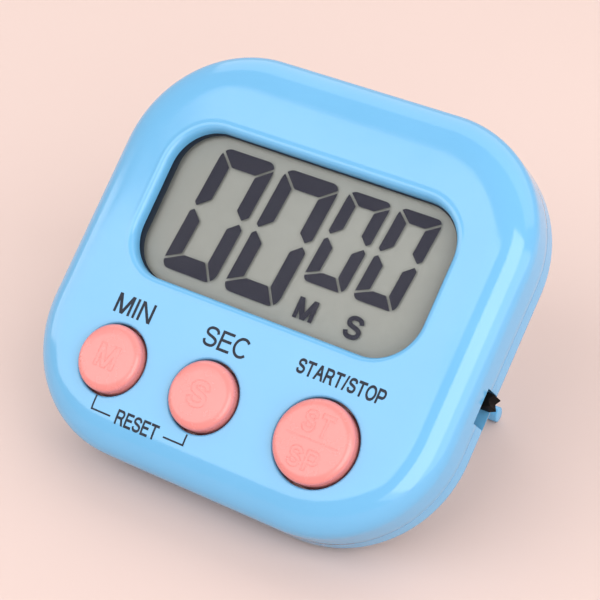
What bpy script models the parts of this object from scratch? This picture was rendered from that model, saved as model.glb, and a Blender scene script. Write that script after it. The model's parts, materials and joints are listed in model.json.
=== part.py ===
"""Digital kitchen countdown timer, leaning back on its fold-out stand.

The case frame has X to the right, Y up the face and Z out of the face, with its origin
in the middle of the face. Every size below is in millimetres in that frame. The empty
timer_frame leans the case back until its lower rear edge and the stand's foot rest on
the ground, and puts the world's origin under the middle of the whole object.
"""
import math

import bmesh
import bpy
from mathutils import Euler, Vector

MM = 0.001
GAP = 0.3
FACE_GAP = 0.1
CUT_PAST = 1.0

# Case
CASE_X = 64.0
CASE_Y = 60.0
CASE_DEPTH = 13.8
CORNER_RADIUS = 17.8
EDGE_ROLL = 5.8
EDGE_DROP = 4.2
CROWN = 0.4
BACK_RADIUS = 3.4
WALL = 1.6
PLATE = 1.9
PARTING_Z = -8.4
SEAM = 0.15
TONGUE_TOP = -7.2
CORNER_SEGMENTS = 10

# Display
WINDOW_X = 45.2
WINDOW_Y = 22.4
WINDOW_RADIUS = 6.5
WINDOW_LIP = 1.0
WINDOW_CENTRE_Y = 5.9
GLASS_X = 48.6
GLASS_Y = 24.2
GLASS_TOP = -2.2
GLASS_THICK = 1.1
BACKPLATE_THICK = 0.8
FRAME_WALL = 0.8

# Buttons
BUTTON_Y = -18.05
BUTTONS = {
    "min_button": (-16.95, 4.92),
    "sec_button": (-1.8, 4.92),
    "start_stop_button": (15.8, 5.82),
}
BUTTON_GAP = 0.35
BUTTON_TOP = 1.4
BUTTON_ROUND = 1.5
BUTTON_FLANGE = 1.1
BUTTON_FLANGE_THICK = 0.7
BUTTON_STEM_RADIUS = 2.2
BUTTON_STEM_END = -3.7

# Keypad sheet under the buttons
KEYPAD_X = (-21.0, 20.8)
KEYPAD_Y = (-25.6, -11.0)
DOME_RADIUS = 3.4

# Circuit board
BOARD_TOP = -6.3
BOARD_THICK = 1.0
BOARD_X = 56.0
BOARD_Y = 47.0
BOARD_CENTRE_Y = -3.0
BOARD_RADIUS = 14.0
BOARD_SCREWS = ((-25.4, -10.8), (24.8, -12.6), (6.6, -22.3))
BOARD_POST_RADIUS = 1.8
BOARD_BORE_RADIUS = 1.0
BOARD_BORE_TOP = -3.2
BOARD_PARTS = {
    "capacitor_a": (15.6, -3.4),
    "capacitor_b": (15.6, 0.2),
    "resistor_a": (15.8, 9.6),
    "resistor_b": (15.8, 12.4),
}

# Case screws and their bosses, in the four corners
CASE_SCREW = (23.6, 21.8)
FRONT_BOSS_RADIUS = 2.4
REAR_BOSS_RADIUS = 3.2
CASE_BORE_RADIUS = 1.2
FRONT_BORE_TOP = -5.5
BOSS_ROOM_RADIUS = 2.7
BOSS_NOTCH_RADIUS = 2.8
HEAD_ROOM_RADIUS = 2.2
HEAD_SEAT_Z = -11.6

# Slide switch
SLOT_Y = (-7.6, -2.65)
SLOT_Z = (-11.0, -6.9)
KNOB_Y = (-5.05, -3.0)
KNOB_Z = (-10.7, -7.5)
KNOB_END_X = 32.85
SWITCH_X = (26.9, 30.1)
SWITCH_Y = (-9.3, -0.9)
SWITCH_Z = (-11.2, -6.8)

# Coin cell and its door
CELL_Y = 4.6
CELL_RADIUS = 10.0
CELL_THICK = 3.2
CELL_TOP = -7.7
DOOR_RADIUS = 11.0
DOOR_THICK = 1.6
DOOR_NECK = 10.5
LUG_RADIUS = 11.9
LUG_HALF_WIDTH = 2.3
LUG_Z = (-11.9, -11.1)
HOLDER_RADIUS = 11.5
HOLDER_BORE = 10.3

# Buzzer
BUZZER_Y = 21.4
BUZZER_RADIUS = 4.6
SOUND_HOLE_RADIUS = 0.6
SOUND_HOLE_PITCH = 2.0

# Fold-out stand
STAND_AXIS_Y = 14.0
STAND_AXIS_Z = -12.4
STAND_REACH = 28.1
STAND_THICK = 2.0
STAND_X = 23.3
STAND_INNER_X = 19.5
STAND_BAR = 5.8
STAND_EAR_X = 24.45
STAND_EAR = 2.4
STAND_OPEN = math.radians(55.75)
PIN_RADIUS = 0.7

BACK_Z = -CASE_DEPTH
FLOOR_Z = BACK_Z + WALL
BOARD_BACK = BOARD_TOP - BOARD_THICK


def clear_scene():
    for item in list(bpy.data.objects):
        bpy.data.objects.remove(item)


def material(name, colour, roughness, metallic=0.0, transmission=0.0):
    made = bpy.data.materials.new(name)
    made.use_nodes = True
    shader = made.node_tree.nodes["Principled BSDF"]
    shader.inputs["Base Color"].default_value = (*colour, 1.0)
    shader.inputs["Roughness"].default_value = roughness
    shader.inputs["Metallic"].default_value = metallic
    shader.inputs["Transmission Weight"].default_value = transmission
    return made


# ---------------------------------------------------------------- outlines and solids


def rounded_outline(half_x, half_y, radius, segments=CORNER_SEGMENTS):
    """Points of a rounded rectangle, counter-clockwise from the right side."""
    points = []
    for quarter in range(4):
        side_x = 1 if quarter in (0, 3) else -1
        side_y = 1 if quarter in (0, 1) else -1
        for step in range(segments + 1):
            angle = math.radians(90.0) * (quarter + step / segments)
            x = side_x * (half_x - radius) + radius * math.cos(angle)
            y = side_y * (half_y - radius) + radius * math.sin(angle)
            points.append((x, y))
    return points


def case_ring(inset, z, scale=1.0):
    """One level of the case: its outline, moved in by inset and then scaled."""
    outline = rounded_outline(CASE_X / 2 - inset, CASE_Y / 2 - inset, CORNER_RADIUS - inset)
    return [Vector((x * scale, y * scale, z)) for x, y in outline]


def finish_mesh(name, mesh, look, origin):
    """Turn a bmesh in case millimetres into an object whose origin is at origin."""
    bmesh.ops.recalc_face_normals(mesh, faces=mesh.faces)
    bmesh.ops.translate(mesh, verts=mesh.verts, vec=-Vector(origin))
    bmesh.ops.scale(mesh, verts=mesh.verts, vec=(MM, MM, MM))
    data = bpy.data.meshes.new(name)
    mesh.to_mesh(data)
    mesh.free()
    item = bpy.data.objects.new(name, data)
    item.location = Vector(origin) * MM
    if look is not None:
        data.materials.append(look)
    bpy.context.collection.objects.link(item)
    return item


def loft(name, rings, look=None, origin=(0, 0, 0)):
    """A closed body through rings of equal count, capped at both ends."""
    mesh = bmesh.new()
    loops = [[mesh.verts.new(point) for point in ring] for ring in rings]
    count = len(loops[0])
    for lower, upper in zip(loops, loops[1:]):
        for i in range(count):
            j = (i + 1) % count
            mesh.faces.new((lower[i], lower[j], upper[j], upper[i]))
    mesh.faces.new(list(reversed(loops[0])))
    mesh.faces.new(loops[-1])
    return finish_mesh(name, mesh, look, origin)


def prism(name, outline, z_low, z_high, look=None, origin=(0, 0, 0)):
    rings = [[Vector((x, y, z)) for x, y in outline] for z in (z_low, z_high)]
    return loft(name, rings, look, origin)


def box(name, x_span, y_span, z_span, look=None, origin=(0, 0, 0)):
    left, right = x_span
    low, high = y_span
    outline = [(right, low), (right, high), (left, high), (left, low)]
    return prism(name, outline, z_span[0], z_span[1], look, origin)


def turned(name, profile, centre, look=None, segments=32, origin=(0, 0, 0)):
    """A body turned about a line along Z through centre, from its (radius, z) profile."""
    mesh = bmesh.new()
    foot = mesh.verts.new((centre[0], centre[1], profile[0][1]))
    head = mesh.verts.new((centre[0], centre[1], profile[-1][1]))
    loops = []
    for radius, z in profile:
        if radius > 0:
            ring = []
            for step in range(segments):
                angle = math.tau * step / segments
                x = centre[0] + radius * math.cos(angle)
                y = centre[1] + radius * math.sin(angle)
                ring.append(mesh.verts.new((x, y, z)))
            loops.append(ring)
    for i in range(segments):
        j = (i + 1) % segments
        mesh.faces.new((foot, loops[0][j], loops[0][i]))
        mesh.faces.new((head, loops[-1][i], loops[-1][j]))
        for lower, upper in zip(loops, loops[1:]):
            mesh.faces.new((lower[i], lower[j], upper[j], upper[i]))
    return finish_mesh(name, mesh, look, origin)


def cylinder(name, centre, radius, z_low, z_high, look=None, segments=32, origin=(0, 0, 0)):
    profile = [(0, z_low), (radius, z_low), (radius, z_high), (0, z_high)]
    return turned(name, profile, centre, look, segments, origin)


def cross_cylinder(name, y, z, radius, x_span, segments=24, origin=(0, 0, 0)):
    """A round bar along X."""
    angles = [math.tau * i / segments for i in range(segments)]
    ring = [(y + radius * math.cos(a), z + radius * math.sin(a)) for a in angles]
    return loft(name, [[Vector((x, p, q)) for p, q in ring] for x in x_span], None, origin)


def stadium_bar(name, y_span, z, radius, x_span, look=None, origin=(0, 0, 0), segments=8):
    """A flat bar along X whose two long edges are half-round: centres at y_span."""
    ring = []
    for end, start in ((y_span[1], -90.0), (y_span[0], 90.0)):
        for step in range(segments + 1):
            angle = math.radians(start + 180.0 * step / segments)
            ring.append((end + radius * math.cos(angle), z + radius * math.sin(angle)))
    return loft(name, [[Vector((x, p, q)) for p, q in ring] for x in x_span], look, origin)


def combine(target, tools, operation):
    """Join or cut target with each tool in turn, and remove the tools."""
    for tool in tools:
        step = target.modifiers.new(tool.name, "BOOLEAN")
        step.operation = operation
        step.object = tool
        step.solver = "EXACT"
    bpy.context.view_layer.update()
    graph = bpy.context.evaluated_depsgraph_get()
    result = bpy.data.meshes.new_from_object(target.evaluated_get(graph))
    target.modifiers.clear()
    result.name = target.name
    target.data = result
    for tool in tools:
        bpy.data.objects.remove(tool)


def smooth(item, angle=30.0):
    item.data.shade_smooth()
    item.data.set_sharp_from_angle(angle=math.radians(angle))


# ---------------------------------------------------------------- case


def corner_places():
    return [(sx * CASE_SCREW[0], sy * CASE_SCREW[1]) for sx in (-1, 1) for sy in (-1, 1)]


def cylinders(name, places, radius, z_low, z_high, segments=20):
    """The same upright cylinder at each place."""
    return [cylinder(name, place, radius, z_low, z_high, segments=segments) for place in places]


def window_cutter():
    """The display opening, flared into a rounded lip at the face."""
    levels = [(0.0, -4.0)]
    for step in range(5):
        angle = math.radians(90.0) * step / 4
        levels.append((WINDOW_LIP * (1 - math.cos(angle)), WINDOW_LIP * (math.sin(angle) - 1)))
    levels.append((WINDOW_LIP, 1.0))
    rings = []
    for grow, z in levels:
        outline = rounded_outline(WINDOW_X / 2 + grow, WINDOW_Y / 2 + grow, WINDOW_RADIUS + grow, 8)
        rings.append([Vector((x, y + WINDOW_CENTRE_Y, z)) for x, y in outline])
    return loft("window_cutter", rings)


def slot_cutter(name):
    """The slide switch's slot, through either shell's right wall."""
    wall = CASE_X / 2 - WALL
    return box(name, (wall - CUT_PAST, CASE_X / 2 + CUT_PAST), SLOT_Y, SLOT_Z)


def front_shell(look):
    rings = [case_ring(EDGE_ROLL + 1.0, -PLATE)]
    for step in range(3, -1, -1):
        angle = math.radians(90.0) * step / 3
        inset = WALL + (EDGE_ROLL - WALL) * (1 - math.cos(angle))
        rings.append(case_ring(inset, -PLATE - EDGE_DROP * (1 - math.sin(angle))))
    rings.append(case_ring(WALL, PARTING_Z))
    rings.append(case_ring(0.0, PARTING_Z))
    for step in range(8):
        angle = math.radians(90.0) * step / 7
        inset = EDGE_ROLL * (1 - math.cos(angle))
        rings.append(case_ring(inset, -CROWN - EDGE_DROP * (1 - math.sin(angle))))
    for scale in (0.75, 0.5, 0.25):
        rings.append(case_ring(EDGE_ROLL, -CROWN * scale ** 2, scale))
    shell = loft("front_shell", rings, look)
    root = -PLATE + 0.4
    bosses = cylinders("boss", corner_places(), FRONT_BOSS_RADIUS, root, PARTING_Z + 0.1)
    bosses += cylinders("post", BOARD_SCREWS, BOARD_POST_RADIUS, root, BOARD_TOP + 0.2)
    combine(shell, bosses, "UNION")
    cutters = [window_cutter(), slot_cutter("slot")]
    for x, radius in BUTTONS.values():
        cutters += cylinders("hole", [(x, BUTTON_Y)], radius + BUTTON_GAP, -4.0, CUT_PAST, 40)
    cutters += cylinders("bore", corner_places(), CASE_BORE_RADIUS, FRONT_BORE_TOP, -9.5, 16)
    cutters += cylinders("bore", BOARD_SCREWS, BOARD_BORE_RADIUS, BOARD_BORE_TOP, -7.5, 16)
    combine(shell, cutters, "DIFFERENCE")
    smooth(shell)
    return shell


def stand_outline(outer_x, inner_x, top, bottom, bar_top, ear_x=None, ear_top=None):
    """A U seen from behind: two legs and the bar that joins their lower ends."""
    side = [(outer_x, top), (inner_x, top), (inner_x, bar_top)]
    foot = [(outer_x, bottom)]
    if ear_x is not None:
        foot = [(ear_x, bottom), (ear_x, ear_top), (outer_x, ear_top)]
    right = list(reversed(side)) + list(reversed(foot))
    left = [(-x, y) for x, y in reversed(right)]
    return right + left


def door_bore(radius, z_low, z_high):
    return cylinder("door_bore", (0.0, CELL_Y), radius, z_low, z_high, segments=48)


def rear_rings():
    """The rear shell's section, from the inside of its floor round to the outside."""
    inner = BACK_RADIUS - WALL
    rings = [case_ring(BACK_RADIUS + WALL, FLOOR_Z)]
    for step in range(4):
        angle = math.radians(90.0) * step / 3
        inset = BACK_RADIUS - inner * math.sin(angle)
        rings.append(case_ring(inset, BACK_Z + BACK_RADIUS - inner * math.cos(angle)))
    tongue_in = WALL + 1.0
    rings += [case_ring(tongue_in, PARTING_Z - 1.0), case_ring(tongue_in, TONGUE_TOP)]
    rings += [case_ring(WALL + GAP, TONGUE_TOP), case_ring(WALL + GAP, PARTING_Z - SEAM)]
    rings.append(case_ring(0.0, PARTING_Z - SEAM))
    for step in range(6):
        angle = math.radians(90.0) * step / 5
        inset = BACK_RADIUS * (1 - math.cos(angle))
        rings.append(case_ring(inset, BACK_Z + BACK_RADIUS * (1 - math.sin(angle))))
    return rings


def stand_well():
    """The raised tray that holds the folded stand, and the pocket cut into it."""
    skin = 1.0
    top = STAND_AXIS_Y + STAND_THICK / 2 + GAP
    bottom = STAND_AXIS_Y - STAND_REACH - STAND_THICK / 2 - 1.3
    bar_top = STAND_AXIS_Y - STAND_REACH + STAND_BAR - STAND_THICK / 2 + GAP
    well_floor = STAND_AXIS_Z + STAND_THICK / 2 + GAP
    inner_x = STAND_INNER_X - GAP
    ear_x = STAND_EAR_X + GAP
    ear_top = bottom + STAND_EAR + 2.0
    tray = stand_outline(ear_x + skin, inner_x - skin, top + skin, bottom - skin, bar_top + skin)
    cut = stand_outline(STAND_X + GAP, inner_x, top, bottom, bar_top, ear_x, ear_top)
    well = prism("well", tray, FLOOR_Z - 0.4, well_floor + skin)
    pocket = prism("pocket", cut, BACK_Z - CUT_PAST, well_floor)
    return well, pocket


def switch_room():
    """Room for the switch body behind the wall and under the tongue."""
    x_span = (SWITCH_X[0] - 0.2, CASE_X / 2 - WALL)
    y_span = (SWITCH_Y[0] - GAP, SWITCH_Y[1] + GAP)
    return box("switch_room", x_span, y_span, (SWITCH_Z[0] - GAP, TONGUE_TOP + CUT_PAST))


def door_cutters():
    """The battery door's bore, and the way in for its two lugs."""
    below = BACK_Z - CUT_PAST
    half = LUG_HALF_WIDTH + GAP
    x_span = (-LUG_RADIUS - GAP, LUG_RADIUS + GAP)
    lug_way = box("lug_way", x_span, (CELL_Y - half, CELL_Y + half), (below, FLOOR_Z + 0.6))
    return [door_bore(DOOR_RADIUS + GAP, below, FLOOR_Z + CUT_PAST), lug_way]


def rear_shell(look):
    shell = loft("rear_shell", rear_rings(), look)
    well, pocket = stand_well()
    bosses = cylinders("boss", corner_places(), REAR_BOSS_RADIUS, FLOOR_Z - 0.4, PARTING_Z - 0.3)
    combine(shell, [well] + bosses, "UNION")
    below = BACK_Z - CUT_PAST
    cutters = [pocket, slot_cutter("slot"), switch_room()]
    pin_end = STAND_EAR_X + GAP
    for span in ((STAND_X, pin_end), (-pin_end, -STAND_X)):
        cutters.append(cross_cylinder("pin_hole", STAND_AXIS_Y, STAND_AXIS_Z, PIN_RADIUS + GAP, span))
    cutters += door_cutters()
    for place in corner_places():
        here = [place]
        cutters += cylinders("boss_room", here, BOSS_ROOM_RADIUS, PARTING_Z - 0.25, TONGUE_TOP + CUT_PAST)
        cutters += cylinders("head_room", here, HEAD_ROOM_RADIUS, below, HEAD_SEAT_Z)
        cutters += cylinders("bore", here, CASE_BORE_RADIUS, -12.5, -8.0, 16)
    pitch = SOUND_HOLE_PITCH
    sound = [(x, BUZZER_Y + y) for x, y in ((0, 0), (pitch, 0), (-pitch, 0), (0, pitch), (0, -pitch))]
    cutters += cylinders("sound_hole", sound, SOUND_HOLE_RADIUS, below, FLOOR_Z + CUT_PAST, 12)
    combine(shell, cutters, "DIFFERENCE")
    smooth(shell)
    return shell


# ---------------------------------------------------------------- display


def display_parts(clear, backing, frame_look, rubber):
    half_x = GLASS_X / 2
    half_y = GLASS_Y / 2
    y_span = (WINDOW_CENTRE_Y - half_y, WINDOW_CENTRE_Y + half_y)
    glass_back = GLASS_TOP - GLASS_THICK
    plate_top = glass_back - FACE_GAP
    plate_back = plate_top - BACKPLATE_THICK
    box("display_glass", (-half_x, half_x), y_span, (glass_back, GLASS_TOP), clear)
    box("display_backplate", (-half_x, half_x), y_span, (plate_back, plate_top), backing)
    strip_z = (BOARD_TOP + FACE_GAP, plate_back - FACE_GAP)
    strips = {"contact_strip_top": y_span[1] - 1.2, "contact_strip_bottom": y_span[0] + 1.2}
    for name, y in strips.items():
        box(name, (-22.0, 22.0), (y - 0.9, y + 0.9), strip_z, rubber)
    rim = half_x + GAP
    tall = half_y + GAP
    outer_x = rim + FRAME_WALL
    outer_y = (y_span[0] - GAP - FRAME_WALL, y_span[1] + GAP + FRAME_WALL)
    frame_z = (BOARD_TOP + FACE_GAP, GLASS_TOP)
    cut_y = (WINDOW_CENTRE_Y - tall, WINDOW_CENTRE_Y + tall)
    cut_z = (frame_z[0] - CUT_PAST, frame_z[1] + CUT_PAST)
    frame = box("display_frame", (-outer_x, outer_x), outer_y, frame_z, frame_look)
    combine(frame, [box("hollow", (-rim, rim), cut_y, cut_z)], "DIFFERENCE")


# ---------------------------------------------------------------- buttons and keypad


def button(name, look):
    x, radius = BUTTONS[name]
    under_plate = -PLATE - GAP
    flange = radius + BUTTON_FLANGE
    flange_back = under_plate - BUTTON_FLANGE_THICK
    profile = [(0, BUTTON_STEM_END), (BUTTON_STEM_RADIUS, BUTTON_STEM_END)]
    profile += [(BUTTON_STEM_RADIUS, flange_back), (flange, flange_back)]
    profile += [(flange, under_plate), (radius, under_plate)]
    for step in range(6):
        angle = math.radians(90.0) * step / 5
        inset = BUTTON_ROUND * (1 - math.cos(angle))
        drop = BUTTON_ROUND * 0.8 * (1 - math.sin(angle))
        profile.append((radius - inset, BUTTON_TOP - 0.1 - drop))
    profile += [(radius * 0.4, BUTTON_TOP - 0.02), (0, BUTTON_TOP)]
    item = turned(name, profile, (x, BUTTON_Y), look, 40, (x, BUTTON_Y, 0.0))
    keys = cylinders("key", corner_places(), BOSS_NOTCH_RADIUS, under_plate - 1.2, under_plate + 0.1)
    combine(item, keys, "DIFFERENCE")
    smooth(item, 40.0)


def keypad(look):
    sheet_back = BOARD_TOP + 0.2
    sheet_top = BOARD_TOP + 0.8
    pad = box("rubber_keypad", KEYPAD_X, KEYPAD_Y, (sheet_back, sheet_top), look)
    dome_top = BUTTON_STEM_END - 0.9
    domes = []
    for x, _ in BUTTONS.values():
        profile = [(0, sheet_top - 0.3), (DOME_RADIUS, sheet_top - 0.3)]
        profile += [(DOME_RADIUS - 0.2, sheet_top + 0.2), (BUTTON_STEM_RADIUS, dome_top), (0, dome_top)]
        domes.append(turned("dome", profile, (x, BUTTON_Y), segments=24))
    combine(pad, domes, "UNION")
    post_room = BOARD_POST_RADIUS + GAP
    low = BOARD_TOP - CUT_PAST
    holes = cylinders("post_hole", BOARD_SCREWS[2:], post_room, low, sheet_top + CUT_PAST)
    combine(pad, holes, "DIFFERENCE")
    smooth(pad)


# ---------------------------------------------------------------- circuit board


def circuit_board(look):
    centred = rounded_outline(BOARD_X / 2, BOARD_Y / 2, BOARD_RADIUS, 6)
    outline = [(x, y + BOARD_CENTRE_Y) for x, y in centred]
    board = prism("circuit_board", outline, BOARD_BACK, BOARD_TOP, look)
    low = BOARD_BACK - CUT_PAST
    high = BOARD_TOP + CUT_PAST
    holes = cylinders("notch", corner_places(), BOSS_NOTCH_RADIUS, low, high)
    holes += cylinders("hole", BOARD_SCREWS, BOARD_BORE_RADIUS, low, high, 16)
    notch_y = (SWITCH_Y[0] - GAP, SWITCH_Y[1] + GAP)
    holes.append(box("switch_notch", (SWITCH_X[0] - GAP, CASE_X / 2), notch_y, (low, high)))
    combine(board, holes, "DIFFERENCE")


def board_parts(black, metal, tan):
    under = BOARD_BACK - FACE_GAP
    dome = [(0, under - 1.5), (1.6, under - 1.4), (3.0, under - 0.9)]
    dome += [(3.8, under - 0.2), (3.9, under), (0, under)]
    smooth(turned("chip_cover", dome, (-16.6, 7.0), black, 24), 60.0)
    can = cross_cylinder("crystal", -4.5, under - 1.1, 1.0, (-19.5, -13.5), 16)
    can.data.materials.append(metal)
    smooth(can)
    for name, (x, y) in BOARD_PARTS.items():
        look = tan if name.startswith("capacitor") else black
        box(name, (x - 1.0, x + 1.0), (y - 0.65, y + 0.65), (under - 0.8, under), look)


def screw(name, place, shank, head, z_tip, z_seat, z_head, look):
    """A pan-head screw pointing to the face, with a cross recess in its head."""
    profile = [(0, z_head), (head * 0.8, z_head), (head, z_head + 0.3), (head, z_seat), (shank, z_seat)]
    profile += [(shank, z_tip - 0.6), (shank * 0.4, z_tip), (0, z_tip)]
    item = turned(name, profile, place, look, 20)
    x, y = place
    depth = (z_head - CUT_PAST, z_head + 0.45)
    arms = []
    for long_x, long_y in ((head * 0.6, 0.2), (0.2, head * 0.6)):
        arms.append(box("arm", (x - long_x, x + long_x), (y - long_y, y + long_y), depth))
    combine(item, arms, "DIFFERENCE")
    smooth(item)


def screws(look):
    for number, place in enumerate(corner_places(), 1):
        seat = HEAD_SEAT_Z - FACE_GAP
        screw("case_screw_%d" % number, place, 0.9, 1.85, -6.2, seat, -13.1, look)
    for number, place in enumerate(BOARD_SCREWS, 1):
        seat = BOARD_BACK - FACE_GAP
        screw("board_screw_%d" % number, place, 0.7, 1.5, -3.6, seat, BOARD_BACK - 1.0, look)


# ---------------------------------------------------------------- slide switch


def slide_switch(metal, black):
    body = box("switch_body", SWITCH_X, SWITCH_Y, SWITCH_Z, metal)
    room_x = (SWITCH_X[1] - 1.8, SWITCH_X[1] + CUT_PAST)
    room_y = (SLOT_Y[0] + 0.2, SLOT_Y[1] - 0.2)
    room = box("room", room_x, room_y, (KNOB_Z[0] - GAP, KNOB_Z[1] + GAP - 0.05))
    combine(body, [room], "DIFFERENCE")
    low, high = KNOB_Y
    root = SWITCH_X[1] - 1.4
    tip = KNOB_END_X
    groove = (low + high) / 2 + 0.2
    outline = [(root, low), (tip - 0.9, low), (tip, low + 0.4), (tip - 0.5, groove)]
    outline += [(tip, high - 0.08), (tip - 0.2, high), (root, high)]
    middle = ((root + tip) / 2, (low + high) / 2, (KNOB_Z[0] + KNOB_Z[1]) / 2)
    prism("switch_knob", outline, KNOB_Z[0], KNOB_Z[1], black, middle)


# ---------------------------------------------------------------- cell, contacts and door


def cell_parts(steel, plastic, spring):
    centre = (0.0, CELL_Y)
    back = CELL_TOP - CELL_THICK
    profile = [(0, back), (CELL_RADIUS - 0.4, back), (CELL_RADIUS, back + 0.3)]
    profile += [(CELL_RADIUS, CELL_TOP - 0.6), (CELL_RADIUS - 0.9, CELL_TOP - 0.45)]
    profile += [(CELL_RADIUS - 1.1, CELL_TOP), (0, CELL_TOP)]
    smooth(turned("coin_cell", profile, centre, steel, 40))
    top = BOARD_BACK - FACE_GAP
    low = back + FACE_GAP - CUT_PAST
    high = top + CUT_PAST
    holder = cylinder("cell_holder", centre, HOLDER_RADIUS, back + FACE_GAP, top, plastic, 40)
    bore = cylinder("bore", centre, HOLDER_BORE, low, high, segments=40)
    gate_y = (CELL_Y - 2.6, CELL_Y + 2.6)
    gate = box("gate", (HOLDER_BORE - 1.3, HOLDER_RADIUS + 1.0), gate_y, (low, high))
    combine(holder, [bore, gate], "DIFFERENCE")
    smooth(holder)
    plus_y = (CELL_Y - 2, CELL_Y + 2)
    plus = box("cell_contact_plus", (HOLDER_BORE, HOLDER_BORE + 0.3), plus_y, (top - 3.0, top), spring)
    foot = box("foot", (HOLDER_BORE, HOLDER_BORE + 3.3), plus_y, (top - 0.3, top))
    combine(plus, [foot], "UNION")
    box("cell_contact_minus", (-2.0, 2.0), (CELL_Y - 6, CELL_Y + 6), (CELL_TOP + FACE_GAP, top), spring)


def battery_door(look):
    """A round door with two lugs under the rear wall and a coin slot outside."""
    face = BACK_Z + 0.2
    inside = LUG_Z[1]
    rim = face + DOOR_THICK
    profile = [(0, face), (DOOR_RADIUS - 0.3, face), (DOOR_RADIUS, face + 0.3), (DOOR_RADIUS, rim)]
    profile += [(DOOR_NECK, rim), (DOOR_NECK, inside), (0, inside)]
    door = turned("battery_door", profile, (0.0, CELL_Y), look, 48, (0.0, CELL_Y, face))
    lugs = cylinder("lugs", (0.0, CELL_Y), LUG_RADIUS, LUG_Z[0], LUG_Z[1], segments=48)
    keep_y = (CELL_Y - LUG_RADIUS - 1.1, CELL_Y + LUG_RADIUS + 1.1)
    keep_z = (LUG_Z[0] - CUT_PAST, LUG_Z[1] + CUT_PAST)
    keep = box("keep", (-LUG_HALF_WIDTH, LUG_HALF_WIDTH), keep_y, keep_z)
    combine(lugs, [keep], "INTERSECT")
    combine(door, [lugs], "UNION")
    slot = box("slot", (-1.0, 1.0), (CELL_Y - 7.0, CELL_Y + 7.0), (face - CUT_PAST, face + 0.9))
    combine(door, [slot], "DIFFERENCE")
    smooth(door)


# ---------------------------------------------------------------- buzzer


def buzzer(brass, ceramic, wire_looks):
    centre = (0.0, BUZZER_Y)
    cylinder("buzzer_disc", centre, BUZZER_RADIUS, FLOOR_Z + 0.2, FLOOR_Z + 0.5, brass, 32)
    cylinder("buzzer_ceramic", centre, BUZZER_RADIUS - 1.4, FLOOR_Z + 0.6, FLOOR_Z + 0.8, ceramic, 32)
    for name, side in (("buzzer_wire_a", -1), ("buzzer_wire_b", 1)):
        start = Vector((side * 1.6, BUZZER_Y - 1.0, FLOOR_Z + 1.3))
        bend = Vector((side * 2.6, BUZZER_Y - 2.0, -9.6))
        end = Vector((side * 3.2, 19.0, BOARD_BACK - 0.5))
        angles = [math.tau * i / 8 for i in range(8)]
        ring = [Vector((0.35 * math.cos(angle), 0.35 * math.sin(angle), 0)) for angle in angles]
        rings = [[point + offset for offset in ring] for point in (start, bend, end)]
        smooth(loft(name, rings, wire_looks[side > 0]), 60.0)


# ---------------------------------------------------------------- stand


def stand(look):
    """A U-shaped bail on two side pins, modelled closed, with its origin on the pins."""
    axis = (0.0, STAND_AXIS_Y, STAND_AXIS_Z)
    foot = STAND_AXIS_Y - STAND_REACH
    radius = STAND_THICK / 2
    x_span = (-STAND_X, STAND_X)
    bail = stadium_bar("stand", (foot, STAND_AXIS_Y), STAND_AXIS_Z, radius, x_span, look, axis)
    hollow_y = (foot + STAND_BAR - radius, STAND_AXIS_Y + 3.0)
    hollow_z = (STAND_AXIS_Z - 3.0, STAND_AXIS_Z + 3.0)
    combine(bail, [box("hollow", (-STAND_INNER_X, STAND_INNER_X), hollow_y, hollow_z)], "DIFFERENCE")
    extras = []
    for span in ((STAND_X - 1.0, STAND_EAR_X), (-STAND_EAR_X, -STAND_X + 1.0)):
        ear_end = foot + STAND_EAR - 2 * radius
        extras.append(stadium_bar("ear", (foot, ear_end), STAND_AXIS_Z, radius - 0.02, span))
        extras.append(cross_cylinder("pin", STAND_AXIS_Y, STAND_AXIS_Z, PIN_RADIUS, span))
    combine(bail, extras, "UNION")
    smooth(bail)
    bail.rotation_euler = Euler((STAND_OPEN, 0.0, 0.0))


# ---------------------------------------------------------------- resting pose


def lean_angle():
    """The face's angle from horizontal when the rear edge and the foot touch the ground."""
    rear = Vector((-CASE_Y / 2 + BACK_RADIUS, BACK_Z + BACK_RADIUS))
    reach = STAND_REACH * Vector((math.cos(STAND_OPEN), math.sin(STAND_OPEN)))
    foot = Vector((STAND_AXIS_Y, STAND_AXIS_Z)) - reach
    across = foot - rear
    drop = (BACK_RADIUS - STAND_THICK / 2) / across.length
    return math.atan2(-across.y, across.x) - math.asin(drop)


def set_on_ground():
    """Parent everything to timer_frame, lean it and centre the object over the origin."""
    frame = bpy.data.objects.new("timer_frame", None)
    bpy.context.collection.objects.link(frame)
    solids = [item for item in bpy.data.objects if item.type == "MESH"]
    for item in solids:
        item.parent = frame
    frame.rotation_euler = Euler((lean_angle(), 0.0, 0.0))
    bpy.context.view_layer.update()
    corners = [item.matrix_world @ vertex.co for item in solids for vertex in item.data.vertices]
    low = Vector([min(corner[axis] for corner in corners) for axis in range(3)])
    high = Vector([max(corner[axis] for corner in corners) for axis in range(3)])
    frame.location = Vector((-(low.x + high.x) / 2, -(low.y + high.y) / 2, -low.z))


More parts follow.
